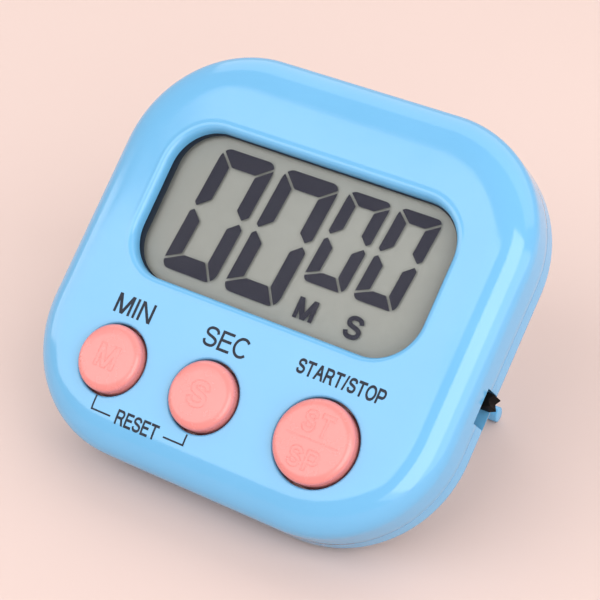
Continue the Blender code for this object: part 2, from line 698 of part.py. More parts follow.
def build():
    clear_scene()
    blue = material("blue_plastic", (0.36, 0.68, 1.0), 0.28)
    coral = material("coral_plastic", (1.0, 0.38, 0.35), 0.42)
    black = material("black_plastic", (0.02, 0.02, 0.022), 0.5)
    white = material("white_plastic", (0.8, 0.8, 0.78), 0.5)
    grey = material("display_grey", (0.38, 0.4, 0.35), 0.6)
    clear = material("clear_glass", (0.9, 0.93, 0.9), 0.08, transmission=0.9)
    rubber = material("grey_rubber", (0.12, 0.12, 0.13), 0.8)
    green = material("board_green", (0.03, 0.22, 0.09), 0.45)
    steel = material("steel", (0.62, 0.62, 0.64), 0.3, metallic=1.0)
    brass = material("brass", (0.8, 0.6, 0.25), 0.35, metallic=1.0)
    ceramic = material("ceramic_white", (0.85, 0.84, 0.8), 0.4)
    red = material("red_wire", (0.6, 0.03, 0.03), 0.5)

    front_shell(blue)
    rear_shell(blue)
    display_parts(clear, grey, white, rubber)
    for name in BUTTONS:
        button(name, coral)
    keypad(rubber)
    circuit_board(green)
    board_parts(black, steel, ceramic)
    screws(steel)
    slide_switch(steel, black)
    cell_parts(steel, white, steel)
    battery_door(blue)
    buzzer(brass, ceramic, (black, red))
    stand(blue)
    set_on_ground()


build()
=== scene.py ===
"""Visual model of a digital kitchen countdown timer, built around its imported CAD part.

Shapes are made in the case frame, in millimetres: X to the right, Y up the face and Z out
of the face, with the origin in the middle of the face. CASE carries them to world metres.
"""

import json
import math

import bmesh
import bpy
from mathutils import Euler, Matrix, Vector
from mathutils.geometry import delaunay_2d_cdt


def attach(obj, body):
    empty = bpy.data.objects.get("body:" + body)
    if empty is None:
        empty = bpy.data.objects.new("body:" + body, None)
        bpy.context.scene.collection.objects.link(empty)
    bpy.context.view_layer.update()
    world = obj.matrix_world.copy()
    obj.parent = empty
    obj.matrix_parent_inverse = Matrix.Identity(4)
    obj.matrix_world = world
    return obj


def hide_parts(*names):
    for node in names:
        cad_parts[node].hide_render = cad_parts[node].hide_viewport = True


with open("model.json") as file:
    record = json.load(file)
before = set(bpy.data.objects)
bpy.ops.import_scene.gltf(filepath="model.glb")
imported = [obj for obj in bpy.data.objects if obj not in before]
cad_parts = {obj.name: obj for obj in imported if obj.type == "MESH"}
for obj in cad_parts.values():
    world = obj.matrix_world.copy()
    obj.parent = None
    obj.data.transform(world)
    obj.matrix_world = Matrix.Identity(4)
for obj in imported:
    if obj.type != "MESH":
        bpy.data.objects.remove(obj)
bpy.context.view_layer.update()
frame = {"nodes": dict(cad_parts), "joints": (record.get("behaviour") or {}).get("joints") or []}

MM = 0.001

# Depths and sizes shared with the CAD part, in millimetres
STAND_AXIS = Vector((0.0, 14.0, -12.4))
STAND_REACH = 28.1
STAND_OUTER = 23.3
STAND_INNER = 19.5
STAND_EAR = 24.45
STAND_HALF_THICK = 1.0
PIN_RADIUS = 0.7
DOOR_CENTRE = (0.0, 4.6)
DOOR_RADIUS = 11.0
DOOR_TOP = -11.1
SOUND_CENTRE = (0.0, 21.4)
SCREW_PLACES = [(side_x * 23.6, side_y * 21.8) for side_x in (-1, 1) for side_y in (-1, 1)]
SWITCH_SLOT_Y = (-7.6, -2.65)
SWITCH_SLOT_Z = (-11.0, -6.9)
CORNER_RADIUS = 17.8
EDGE_ROLL = 5.8
EDGE_DROP = 4.2
CROWN = 0.4
BACK_RADIUS = 3.4
WALL = 1.6
PLATE = 1.9
PARTING_Z = -8.4
SEAM = 0.15
TONGUE_TOP = -7.2
BACK_Z = -13.8
FLOOR_Z = BACK_Z + WALL
WELL_FOOT = FLOOR_Z - 0.4
CUT_PAST = 1.0
GAP = 0.3


# ---------------- frames and measures


def joint(name):
    return next(item for item in frame["joints"] if item["name"] == name)


def case_frame():
    """World matrix of the case frame, in metres per millimetre, from the part's joints."""
    out = -Vector(joint("min_press")["axis"])
    up = -Vector(joint("power_switch_slide")["axis"])
    right = up.cross(out)
    turn = Matrix((right, up, out)).transposed().to_4x4()
    pivot = Vector(joint("stand_fold")["pos_m"])
    origin = pivot - turn @ (STAND_AXIS * MM)
    return Matrix.Translation(origin) @ turn @ Matrix.Scale(MM, 4)


CASE = case_frame()


def span(node):
    """Lowest and highest corner of a CAD node in the case frame."""
    back = CASE.inverted()
    points = [back @ vertex.co for vertex in frame["nodes"][node].data.vertices]
    low = Vector([min(point[axis] for point in points) for axis in range(3)])
    high = Vector([max(point[axis] for point in points) for axis in range(3)])
    return low, high


def middle(node):
    low, high = span(node)
    return (low + high) / 2


HALF_X = (span("rear_shell")[1].x - span("rear_shell")[0].x) / 2
HALF_Y = (span("rear_shell")[1].y - span("rear_shell")[0].y) / 2
BUTTON_RADIUS = {"min_button": 4.92, "sec_button": 4.92, "start_stop_button": 5.82}
BUTTON_GAP = 0.22
BUTTON_CENTRE = {name: (middle(name).x, -18.05) for name in BUTTON_RADIUS}
WINDOW_HALF = (22.6, 11.2)
WINDOW_RADIUS = 6.5
WINDOW_LIP = 0.8
WINDOW_LIP_DROP = 1.2
LIP_EDGE = 0.22
LIP_RISE = 0.035
WINDOW_Y = 5.9
WINDOW_STEPS = (30, 10, 16)
PANE_TOP = span("display_glass")[1].z


# ---------------- mesh helpers


def add_object(name, data):
    item = bpy.data.objects.new(name, data)
    bpy.context.collection.objects.link(item)
    return item


def new_object(name, mesh, smooth_angle=40.0):
    """A bmesh in case millimetres becomes a smooth-shaded object, still in millimetres."""
    bmesh.ops.remove_doubles(mesh, verts=mesh.verts, dist=1e-5)
    bmesh.ops.recalc_face_normals(mesh, faces=mesh.faces)
    data = bpy.data.meshes.new(name)
    mesh.to_mesh(data)
    mesh.free()
    item = add_object(name, data)
    shade(item, smooth_angle)
    return item


def shade(item, smooth_angle):
    item.data.shade_smooth()
    item.data.set_sharp_from_angle(angle=math.radians(smooth_angle))


def arc_points(centre_x, centre_y, radius_x, radius_y, start, end, steps):
    """Points of an ellipse's arc between two angles in degrees."""
    angles = [math.radians(start + (end - start) * step / steps) for step in range(steps + 1)]
    return [(centre_x + radius_x * math.cos(angle), centre_y + radius_y * math.sin(angle))
            for angle in angles]


def rounded_outline(half_x, half_y, radius, steps_x=28, steps_y=24, steps_corner=24, centre=(0.0, 0.0)):
    """A rounded rectangle, counter-clockwise from the right side's upper end."""
    sides = ((1, 1, -1, 0), (-1, 1, 0, -1), (-1, -1, 1, 0), (1, -1, 0, 1))
    points = []
    for number, (side_x, side_y, along_x, along_y) in enumerate(sides):
        middle_x = centre[0] + side_x * (half_x - radius)
        middle_y = centre[1] + side_y * (half_y - radius)
        start = 90 * number
        points += arc_points(middle_x, middle_y, radius, radius, start, start + 90, steps_corner)
        steps, half = (steps_y, half_y) if number % 2 else (steps_x, half_x)
        x, y = points[-1]
        for step in range(1, steps):
            move = 2 * (half - radius) * step / steps
            points.append((x + along_x * move, y + along_y * move))
    return points


def circle_outline(centre, radius, count=64):
    return arc_points(*centre, radius, radius, 0, 360, count)[:-1]


def around(items):
    """Each item of a closed loop, paired with the one after it."""
    items = list(items)
    return list(zip(items, items[1:] + items[:1]))


def loop_at(mesh, outline, height):
    """New vertices along an outline; height is a number or a function of x and y."""
    return [mesh.verts.new((x, y, height(x, y) if callable(height) else height)) for x, y in outline]


def skin(mesh, *loops):
    """Quads from each loop to the next."""
    for lower, upper in zip(loops, loops[1:]):
        for (low, next_low), (high, next_high) in zip(around(lower), around(upper)):
            mesh.faces.new((low, next_low, next_high, high))


def loft(name, rings):
    """A closed body through rings of points with equal counts, capped at both ends."""
    mesh = bmesh.new()
    loops = [[mesh.verts.new(point) for point in ring] for ring in rings]
    skin(mesh, *loops)
    mesh.faces.new(list(reversed(loops[0])))
    mesh.faces.new(loops[-1])
    return new_object(name, mesh)


def prism(name, outline, z_low, z_high):
    return loft(name, [[(x, y, z) for x, y in outline] for z in (z_low, z_high)])


def box(name, x_span, y_span, z_span):
    (left, right), (bottom, top) = x_span, y_span
    return prism(name, [(right, bottom), (right, top), (left, top), (left, bottom)], *z_span)


def turned(name, profile, centre, segments, smooth_angle=40.0):
    """A body turned about a line along Z through centre, from its (radius, z) profile."""
    mesh = bmesh.new()
    foot = mesh.verts.new((centre[0], centre[1], profile[0][1]))
    head = mesh.verts.new((centre[0], centre[1], profile[-1][1]))
    loops = [loop_at(mesh, circle_outline(centre, radius, segments), z)
             for radius, z in profile if radius > 0]
    skin(mesh, *loops)
    for (low, next_low), (high, next_high) in zip(around(loops[0]), around(loops[-1])):
        mesh.faces.new((foot, next_low, low))
        mesh.faces.new((head, high, next_high))
    return new_object(name, mesh, smooth_angle)


def cross_bar(name, y, z, radius, x_span):
    """A round bar along X."""
    ring = circle_outline((y, z), radius, 32)
    return loft(name, [[(x, *point) for point in ring] for x in x_span])


def add_step(item, kind, **settings):
    step = item.modifiers.new(kind.lower(), kind)
    for name, value in settings.items():
        setattr(step, name, value)


def apply_steps(item):
    """Bake an object's modifiers into its mesh."""
    bpy.context.view_layer.update()
    graph = bpy.context.evaluated_depsgraph_get()
    result = bpy.data.meshes.new_from_object(item.evaluated_get(graph))
    item.modifiers.clear()
    item.data = result


def combine(target, tools, operation, smooth_angle=40.0):
    """Join or cut target with each tool in turn, and remove the tools."""
    for tool in tools:
        add_step(target, "BOOLEAN", operation=operation, object=tool, solver="EXACT")
    apply_steps(target)
    shade(target, smooth_angle)
    for tool in tools:
        bpy.data.objects.remove(tool)


def bevel(item, width, angle=40.0):
    add_step(item, "BEVEL", width=width, segments=2, limit_method="ANGLE",
             angle_limit=math.radians(angle), harden_normals=False)
    apply_steps(item)
    shade(item, angle)


def even_normals(item):
    """Let large flat faces keep their own normal where they meet small fillets."""
    add_step(item, "WEIGHTED_NORMAL", keep_sharp=True, weight=100)
    apply_steps(item)


def finish_piece(item, body, slot, look, *nodes, placing=None):
    """Carry a piece from case millimetres to the world, and give it body and look.

    look is a short name from LOOKS, and nodes are the CAD nodes that the piece stands for. slot is not
    used.
    """
    item.data.transform(CASE if placing is None else CASE @ placing)
    item.data.materials.clear()
    item.data.materials.append(LOOKS[look])
    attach(item, body)
    if nodes:
        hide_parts(*nodes)


# ---------------- materials


# Nearly all of the noise lies between these values
NOISE_SPAN = (0.3, 0.7)


def node(tree, kind, **values):
    made = tree.nodes.new("ShaderNode" + kind)
    for name, value in values.items():
        if name in made.inputs:
            made.inputs[name].default_value = value
        else:
            setattr(made, name, value)
    return made


def noise(tree, scale, detail=3.0):
    """Noise in the object's own metres: scale is in cells per metre."""
    where = node(tree, "TexCoord")
    made = node(tree, "TexNoise", Scale=scale, Detail=detail, Roughness=0.5)
    tree.links.new(where.outputs["Object"], made.inputs["Vector"])
    return made.outputs["Fac"]


def remap(tree, source, low, high):
    """Spread noise over a range of values."""
    limits = {"From Min": NOISE_SPAN[0], "From Max": NOISE_SPAN[1], "To Min": low, "To Max": high}
    made = node(tree, "MapRange", **limits)
    tree.links.new(source, made.inputs["Value"])
    return made.outputs["Result"]


def tinted(tree, source, first, second):
    """A colour that wanders between two colours with source."""
    ramp = node(tree, "ValToRGB")
    for stop, place, colour in zip(ramp.color_ramp.elements, NOISE_SPAN, (first, second)):
        stop.position = place
        stop.color = (*colour, 1.0)
    tree.links.new(source, ramp.inputs["Fac"])
    return ramp.outputs["Color"]


def surface(name, first, second, roughness, tint_scale=90.0, grain_scale=5200.0, grain_depth=0.004,
            rough_spread=0.04, metallic=0.0, specular=0.5):
    """A moulded or worked surface: wandering tint, uneven gloss and a fine grain."""
    look = bpy.data.materials.new(name)
    look.use_nodes = True
    tree = look.node_tree
    shader = tree.nodes["Principled BSDF"]
    shader.inputs["Metallic"].default_value = metallic
    shader.inputs["Specular IOR Level"].default_value = specular
    tree.links.new(tinted(tree, noise(tree, tint_scale), first, second), shader.inputs["Base Color"])
    gloss = remap(tree, noise(tree, tint_scale * 6.0), roughness - rough_spread, roughness + rough_spread)
    tree.links.new(gloss, shader.inputs["Roughness"])
    bump = node(tree, "Bump", Strength=1.0)
    bump.inputs["Distance"].default_value = grain_depth * MM
    tree.links.new(noise(tree, grain_scale, 2.0), bump.inputs["Height"])
    tree.links.new(bump.outputs["Normal"], shader.inputs["Normal"])
    return look


def window_glass():
    """A thin clear pane: see-through, with a slightly uneven mirror film by Fresnel."""
    look = bpy.data.materials.new("window_pane")
    look.use_nodes = True
    tree = look.node_tree
    tree.nodes.remove(tree.nodes["Principled BSDF"])
    clear = node(tree, "BsdfTransparent")
    mirror = node(tree, "BsdfGlossy")
    tree.links.new(remap(tree, noise(tree, 220.0), 0.16, 0.22), mirror.inputs["Roughness"])
    share = node(tree, "Fresnel", IOR=1.12)
    mix = node(tree, "MixShader")
    tree.links.new(share.outputs["Fac"], mix.inputs["Fac"])
    tree.links.new(clear.outputs["BSDF"], mix.inputs[1])
    tree.links.new(mirror.outputs["BSDF"], mix.inputs[2])
    tree.links.new(mix.outputs["Shader"], tree.nodes["Material Output"].inputs["Surface"])
    return look


def make_looks():
    """Every look by its short name: two tints, then roughness."""
    return {
        "blue": surface("blue_moulded", (0.120, 0.365, 0.610), (0.127, 0.375, 0.622), 0.11,
                        rough_spread=0.02, grain_depth=0.0004, specular=0.65),
        "coral": surface("coral_moulded", (0.637, 0.201, 0.186), (0.657, 0.213, 0.198), 0.26,
                         grain_depth=0.001, specular=0.6),
        # Painted shade: a near-black look for the sheet that stands in for the window wall's shadow on the
        # display
        "shade_sheet": surface("painted_wall_shade", (0.006, 0.010, 0.018), (0.008, 0.013, 0.022), 0.5, specular=0.2),
        "black": surface("black_moulded", (0.003, 0.003, 0.003), (0.005, 0.0045, 0.0045), 0.6,
                         specular=0.03),
        "white": surface("white_moulded", (0.70, 0.70, 0.68), (0.78, 0.78, 0.76), 0.5),
        "reflector": surface("reflector_film", (0.264, 0.272, 0.251), (0.279, 0.287, 0.266), 0.55,
                             tint_scale=900.0, grain_scale=7000.0, grain_depth=0.002, specular=0.2),
        "segment": surface("segment_film", (0.022, 0.022, 0.036), (0.027, 0.027, 0.041), 0.5, specular=0.1),
        "ink": surface("printed_ink", (0.016, 0.020, 0.030), (0.026, 0.031, 0.042), 0.55,
                       tint_scale=1400.0, specular=0.15),
        "rubber": surface("dark_rubber", (0.05, 0.05, 0.055), (0.075, 0.075, 0.08), 0.8),
        "board": surface("board_laminate", (0.015, 0.13, 0.05), (0.03, 0.18, 0.07), 0.4, tint_scale=700.0),
        "steel": surface("plated_steel", (0.52, 0.52, 0.54), (0.66, 0.66, 0.67), 0.32, metallic=1.0),
        "brass": surface("rolled_brass", (0.72, 0.52, 0.20), (0.82, 0.62, 0.28), 0.35, metallic=1.0),
        "ceramic": surface("fired_ceramic", (0.78, 0.77, 0.72), (0.86, 0.85, 0.80), 0.45, tint_scale=900.0),
        "red": surface("red_sleeve", (0.50, 0.02, 0.02), (0.60, 0.03, 0.03), 0.45),
        "pane": window_glass(),
    }


LOOKS = make_looks()


# ---------------- front shell


ROLL_END = math.radians(87.4)
ROLL_SPAN = EDGE_ROLL / (1 - math.cos(ROLL_END))
ROLL_BASE = -CROWN - EDGE_DROP * math.sin(ROLL_END)
PLATEAU = (HALF_X - EDGE_ROLL, HALF_Y - EDGE_ROLL, CORNER_RADIUS - EDGE_ROLL)


def rounded_distance(x, y, half_x, half_y, radius):
    """Signed distance to a rounded rectangle about the origin, negative inside."""
    over_x = abs(x) - half_x + radius
    over_y = abs(y) - half_y + radius
    outside = math.hypot(max(over_x, 0.0), max(over_y, 0.0))
    return outside + min(max(over_x, over_y), 0.0) - radius


def plateau_share(x, y):
    """How far out (x, y) is, as a share of the way to the flat plateau's edge."""
    half_x, half_y, radius = PLATEAU
    x, y = abs(x), abs(y)
    if y * half_x <= (half_y - radius) * x:
        return x / half_x
    if x * half_y <= (half_x - radius) * y:
        return y / half_y
    centre = Vector((half_x - radius, half_y - radius))
    point = Vector((x, y))
    along = point.dot(centre)
    root = math.sqrt(along ** 2 - point.length_squared * (centre.length_squared - radius ** 2))
    return point.length_squared / (along + root)


def roll_height(inset):
    level = 1 - inset / ROLL_SPAN
    return ROLL_BASE + EDGE_DROP * math.sqrt(1 - level ** 2)


def face_height(x, y):
    """The face's outside surface: a slightly crowned plateau that rolls off at its edge."""
    inset = -rounded_distance(x, y, HALF_X, HALF_Y, CORNER_RADIUS)
    if inset < EDGE_ROLL:
        return roll_height(inset)
    return -CROWN * plateau_share(x, y) ** 2


def on_face(lift):
    """Heights at a constant distance above the face."""
    return lambda x, y: face_height(x, y) + lift


def case_outline(inset):
    return rounded_outline(HALF_X - inset, HALF_Y - inset, CORNER_RADIUS - inset)


def window_outline(grow):
    return rounded_outline(WINDOW_HALF[0] + grow, WINDOW_HALF[1] + grow, WINDOW_RADIUS + grow,
                           *WINDOW_STEPS, (0.0, WINDOW_Y))


def window_distance(x, y, grow):
    return rounded_distance(x, y - WINDOW_Y, WINDOW_HALF[0] + grow, WINDOW_HALF[1] + grow,
                            WINDOW_RADIUS + grow)


class Spacing:
    """Remembers plane points and refuses a new one that comes too near them."""

    CELL = 1.4

    def __init__(self):
        self.cells = {}

    def key(self, x, y):
        return (math.floor(x / self.CELL), math.floor(y / self.CELL))

    def add(self, x, y):
        self.cells.setdefault(self.key(x, y), []).append((x, y))

    def clear_of(self, x, y, least):
        column, row = self.key(x, y)
        for i in (-1, 0, 1):
            for j in (-1, 0, 1):
                for other in self.cells.get((column + i, row + j), ()):
                    if math.hypot(other[0] - x, other[1] - y) < least:
                        return False
        return True


def face_middle(points, face):
    return sum((points[i] for i in face), Vector((0.0, 0.0))) / len(face)


def fill_plate(mesh, loops, inside, height, rings, spacing=1.4):
    """Triangulate the plate between boundary loops, with well-spaced points inside.

    inside(x, y, margin) is true where a point is at least margin from every edge. rings
    are outlines a little inside the plate that keep its triangles regular by the edges.
    """
    taken = Spacing()
    points, owners, edges = [], [], []
    for loop in loops:
        edges += around(range(len(points), len(points) + len(loop)))
        for vertex in loop:
            points.append(vertex.co.xy)
            owners.append(vertex)
            taken.add(*vertex.co.xy)
    wanted = [(x, y, 0.42) for ring in rings for x, y in ring]
    rows = int(2 * HALF_Y / spacing)
    columns = int(2 * HALF_X / spacing)
    for row in range(-rows, rows):
        for column in range(-columns, columns):
            wanted.append(((column + 0.5 * (row % 2)) * spacing, row * spacing * 0.866, spacing * 0.7))
    for x, y, least in wanted:
        if inside(x, y, 0.35) and taken.clear_of(x, y, least):
            taken.add(x, y)
            points.append(Vector((x, y)))
            owners.append(None)
    placed, _, faces, sources, _, _ = delaunay_2d_cdt(points, edges, [], 0, 1e-6)
    corners = []
    for point, source in zip(placed, sources):
        known = owners[source[0]] if source else None
        corners.append(known or mesh.verts.new((point.x, point.y, height(point.x, point.y))))
    for face in faces:
        if inside(*face_middle(placed, face), 0.0):
            mesh.faces.new([corners[i] for i in face])


def plate_test(edge_inset, window_grow, hole_grow):
    """Test for a plate inside the case outline, outside the window and the button holes."""
    def inside(x, y, margin):
        if -rounded_distance(x, y, HALF_X, HALF_Y, CORNER_RADIUS) < edge_inset + margin:
            return False
        if window_distance(x, y, window_grow) < margin:
            return False
        for name, (middle_x, middle_y) in BUTTON_CENTRE.items():
            if math.hypot(x - middle_x, y - middle_y) < BUTTON_RADIUS[name] + hole_grow + margin:
                return False
        return True
    return inside


def hole_rings(grow, window_grow, steps):
    """Outlines that follow the window and the button holes at a few small distances."""
    rings = []
    for step in steps:
        rings.append(window_outline(window_grow + step))
        for name, centre in BUTTON_CENTRE.items():
            rings.append(circle_outline(centre, BUTTON_RADIUS[name] + grow + step))
    return rings


JOIN_INSET = 4.0
SKIN_INSET = 4.9
HOLE_LIP = 0.3
EDGE_BREAK = 0.08
RIM_STEP = 0.7


def front_outside():
    """(inset, z) of the outside, from the parting line up to where the face plate starts."""
    levels = [(EDGE_BREAK, PARTING_Z), (EDGE_BREAK / 4, PARTING_Z + EDGE_BREAK / 4)]
    levels += [(0.0, PARTING_Z + rise) for rise in (EDGE_BREAK, 1.3, 2.6)]
    join_angle = math.degrees(math.acos(1 - JOIN_INSET / ROLL_SPAN))
    return levels + arc_points(ROLL_SPAN, ROLL_BASE, ROLL_SPAN, EDGE_DROP, 180, 180 - join_angle, 14)


def front_inside():
    """(inset, z) of the inside, from the parting line up to the plate's underside."""
    levels = [(WALL - 0.15, PARTING_Z), (WALL, PARTING_Z + 0.15), (WALL, PARTING_Z + 1.2)]
    return levels + arc_points(SKIN_INSET, -PLATE - EDGE_DROP, SKIN_INSET - WALL, EDGE_DROP, 180, 90, 7)


def lip_loops(mesh, outline, width, depth, steps):
    """A rounded lip from the face down into an opening; outline(grow) is its outline."""
    section = arc_points(width, -depth, width, depth, 90, 180, steps)
    return [loop_at(mesh, outline(grow), on_face(drop)) for grow, drop in section]


def window_wall(mesh):
    """The window's raised edge, lip and wall, and the rim that reaches down to the pane."""
    rim_z = PANE_TOP + 0.04
    loops = [loop_at(mesh, window_outline(WINDOW_LIP + LIP_EDGE), face_height),
             loop_at(mesh, window_outline(WINDOW_LIP + LIP_EDGE / 2), on_face(LIP_RISE))]
    loops += lip_loops(mesh, window_outline, WINDOW_LIP, WINDOW_LIP_DROP, 7)
    loops += [loop_at(mesh, window_outline(grow), z)
              for grow, z in ((0.0, rim_z), (RIM_STEP, rim_z), (RIM_STEP, -PLATE))]
    skin(mesh, *loops)
    return loops


def button_hole(mesh, name):
    """A button's hole through the plate, with a small lip at the face."""
    centre = BUTTON_CENTRE[name]
    radius = BUTTON_RADIUS[name] + BUTTON_GAP
    loops = lip_loops(mesh, lambda grow: circle_outline(centre, radius + grow), HOLE_LIP, HOLE_LIP, 4)
    loops.append(loop_at(mesh, circle_outline(centre, radius), -PLATE))
    skin(mesh, *loops)
    return loops


def front_shell():
    """The front shell: rolled outside, window and button holes with lips, hollow inside."""
    mesh = bmesh.new()
    outer = [loop_at(mesh, case_outline(inset), z) for inset, z in front_outside()]
    inner = [loop_at(mesh, case_outline(inset), z) for inset, z in front_inside()]
    skin(mesh, *outer)
    skin(mesh, *inner)
    skin(mesh, inner[0], outer[0])
    openings = [window_wall(mesh)] + [button_hole(mesh, name) for name in BUTTON_CENTRE]
    face_loops = [outer[-1]] + [loops[0] for loops in openings]
    skin_loops = [inner[-1]] + [loops[-1] for loops in openings]

    hole_grow = BUTTON_GAP + HOLE_LIP
    window_grow = WINDOW_LIP + LIP_EDGE
    rings = hole_rings(hole_grow, window_grow, (0.55, 1.2, 2.0))
    rings += [case_outline(JOIN_INSET + step) for step in (0.6, 1.2, 1.8, 2.6)]
    fill_plate(mesh, face_loops, plate_test(JOIN_INSET, window_grow, hole_grow), face_height, rings)
    skin_test = plate_test(SKIN_INSET, RIM_STEP, BUTTON_GAP)
    fill_plate(mesh, skin_loops, skin_test, lambda x, y: -PLATE, [], 3.0)
    shell = new_object("front_case", mesh, 50.0)
    combine(shell, [switch_slot()], "DIFFERENCE", 50.0)
    return shell


def switch_slot():
    """The cut in the right wall for the slide switch, as deep as the CAD part's."""
    return box("switch_slot", (HALF_X - WALL - 1.0, HALF_X + 1.0), SWITCH_SLOT_Y, SWITCH_SLOT_Z)


# ---------------- rear shell


def u_outline(outer_x, inner_x, top, bottom, bar_top, ear=None, inner_radius=0.0):
    """A U seen from behind: two legs and the bar that joins their lower ends.

    ear is the (x, y) of the top outer corner of a tab at each lower end, and inner_radius
    rounds the corners where the bar meets the legs.
    """
    corner = [(inner_x, bar_top)]
    if inner_radius:
        corner = arc_points(inner_x - inner_radius, bar_top + inner_radius, inner_radius, inner_radius,
                            -90, 0, 8)
    foot = [(outer_x, bottom)]
    if ear:
        foot = [(ear[0], bottom), ear, (outer_x, ear[1])]
    right = corner + [(inner_x, top), (outer_x, top)] + list(reversed(foot))
    left = [(-x, y) for x, y in reversed(right)]
    return right + left


def round_bore(radius, z_low, z_high, centre=DOOR_CENTRE, segments=96):
    return turned("bore", [(0, z_low), (radius, z_low), (radius, z_high), (0, z_high)], centre, segments)


def rear_levels():
    """(inset, z) of the rear shell's section, from its floor inside to its back outside."""
    rim = PARTING_Z - SEAM / 3
    arc_z = BACK_Z + BACK_RADIUS
    inner_radius = BACK_RADIUS - WALL
    levels = [(BACK_RADIUS + WALL, FLOOR_Z)]
    levels += arc_points(BACK_RADIUS, arc_z, inner_radius, inner_radius, 270, 180, 5)
    levels += [(WALL + 1.0, PARTING_Z - 1.0), (WALL + 1.0, TONGUE_TOP), (WALL + GAP, TONGUE_TOP),
               (WALL + GAP, rim), (EDGE_BREAK, rim), (EDGE_BREAK / 4, rim - EDGE_BREAK / 4),
               (0.0, rim - EDGE_BREAK)]
    return levels + arc_points(BACK_RADIUS, arc_z, BACK_RADIUS, BACK_RADIUS, 180, 270, 10)


def stand_well():
    """The tray that holds the folded stand, and the pocket that is cut into it."""
    top = STAND_AXIS.y + STAND_HALF_THICK + GAP
    bottom = STAND_AXIS.y - STAND_REACH - 2.3
    bar_top = STAND_AXIS.y - STAND_REACH + 5.1
    well_floor = STAND_AXIS.z + STAND_HALF_THICK + GAP
    ear_x = STAND_EAR + GAP
    inner = STAND_INNER - GAP
    well = prism("well", u_outline(ear_x + 1.0, inner - 1.0, top + 1.0, bottom - 1.0, bar_top + 1.0),
                 WELL_FOOT, well_floor + 1.0)
    ear = (ear_x, bottom + 4.4)
    pocket = prism("pocket", u_outline(STAND_OUTER + GAP, inner, top, bottom, bar_top, ear, 1.9),
                   BACK_Z - CUT_PAST, well_floor)
    return well, pocket


def switch_room():
    """Room inside the wall for the slide switch's body."""
    low, high = span("switch_body")
    return box("switch_room", (low.x - 0.2, HALF_X - WALL), (low.y - GAP, high.y + GAP),
               (low.z - GAP, TONGUE_TOP + 1.0))


def screw_cutters(place):
    """The cuts in a screw's boss: its seat in the front, the head's room and the shank's hole."""
    return [round_bore(2.7, PARTING_Z - 0.25, TONGUE_TOP + 1.0, place, 32),
            round_bore(2.2, BACK_Z - CUT_PAST, -11.6, place, 48),
            round_bore(1.2, -12.5, -8.0, place, 32)]


def rear_shell():
    """The rear shell, with the stand's pocket, the battery door's seat and sound holes."""
    shell = loft("rear_case", [[(x, y, z) for x, y in case_outline(inset)] for inset, z in rear_levels()])
    well, pocket = stand_well()
    bosses = [round_bore(3.2, WELL_FOOT, PARTING_Z - 0.3, place, 40) for place in SCREW_PLACES]
    combine(shell, [well] + bosses, "UNION")
    cutters = [pocket, switch_slot(), switch_room()]
    ear_x = STAND_EAR + GAP
    for x_span in ((STAND_OUTER, ear_x), (-ear_x, -STAND_OUTER)):
        cutters.append(cross_bar("pin_hole", STAND_AXIS.y, STAND_AXIS.z, PIN_RADIUS + GAP, x_span))
    cutters.append(round_bore(DOOR_RADIUS + GAP, BACK_Z - CUT_PAST, FLOOR_Z + 1.0))
    cutters.append(box("lug_way", (-12.2, 12.2), (DOOR_CENTRE[1] - 2.6, DOOR_CENTRE[1] + 2.6),
                       (BACK_Z - CUT_PAST, FLOOR_Z + 0.6)))
    for place in SCREW_PLACES:
        cutters += screw_cutters(place)
    for x, y in ((0, 0), (2, 0), (-2, 0), (0, 2), (0, -2)):
        hole = (SOUND_CENTRE[0] + x, SOUND_CENTRE[1] + y)
        cutters.append(round_bore(0.6, BACK_Z - CUT_PAST, FLOOR_Z + 1.0, hole, 24))
    combine(shell, cutters, "DIFFERENCE", 30.0)
    even_normals(shell)
    return shell


# ---------------- stand, door and screws


def stand():
    """The fold-out bail, modelled closed: half-round edges, side ears and hinge pins."""
    high, deep = STAND_AXIS.y, STAND_AXIS.z
    foot = high - STAND_REACH
    reach = 30.0
    bail = half_round_bar("stand_bail", (foot, high), deep, STAND_HALF_THICK, (-STAND_OUTER, STAND_OUTER))
    opening = rounded_outline(STAND_INNER, reach, 2.2, 4, 4, 8, (0.0, foot + 4.8 + reach))
    combine(bail, [prism("hollow", opening, deep - 3.0, deep + 3.0)], "DIFFERENCE")
    bevel(bail, 0.3)
    extras = []
    for x_span in ((STAND_OUTER - 1.0, STAND_EAR), (-STAND_EAR, 1.0 - STAND_OUTER)):
        ear = half_round_bar("ear", (foot, foot + 0.4), deep, STAND_HALF_THICK - 0.02, x_span)
        bevel(ear, 0.2)
        extras += [ear, cross_bar("pin", high, deep, PIN_RADIUS, x_span)]
    combine(bail, extras, "UNION")
    return bail


def half_round_bar(name, y_span, z, radius, x_span):
    """A flat bar along X whose two long edges are half-round."""
    ring = arc_points(y_span[1], z, radius, radius, -90, 90, 14)
    ring += arc_points(y_span[0], z, radius, radius, 90, 270, 14)
    return loft(name, [[(x, *point) for point in ring] for x in x_span])


def stand_opening():
    """The rest pose: the bail is swung out about its pins until its foot is on the floor."""
    angle = math.radians(-joint("stand_fold")["range_deg"][0])
    turn = Euler((angle, 0.0, 0.0)).to_matrix().to_4x4()
    return Matrix.Translation(STAND_AXIS) @ turn @ Matrix.Translation(-STAND_AXIS)


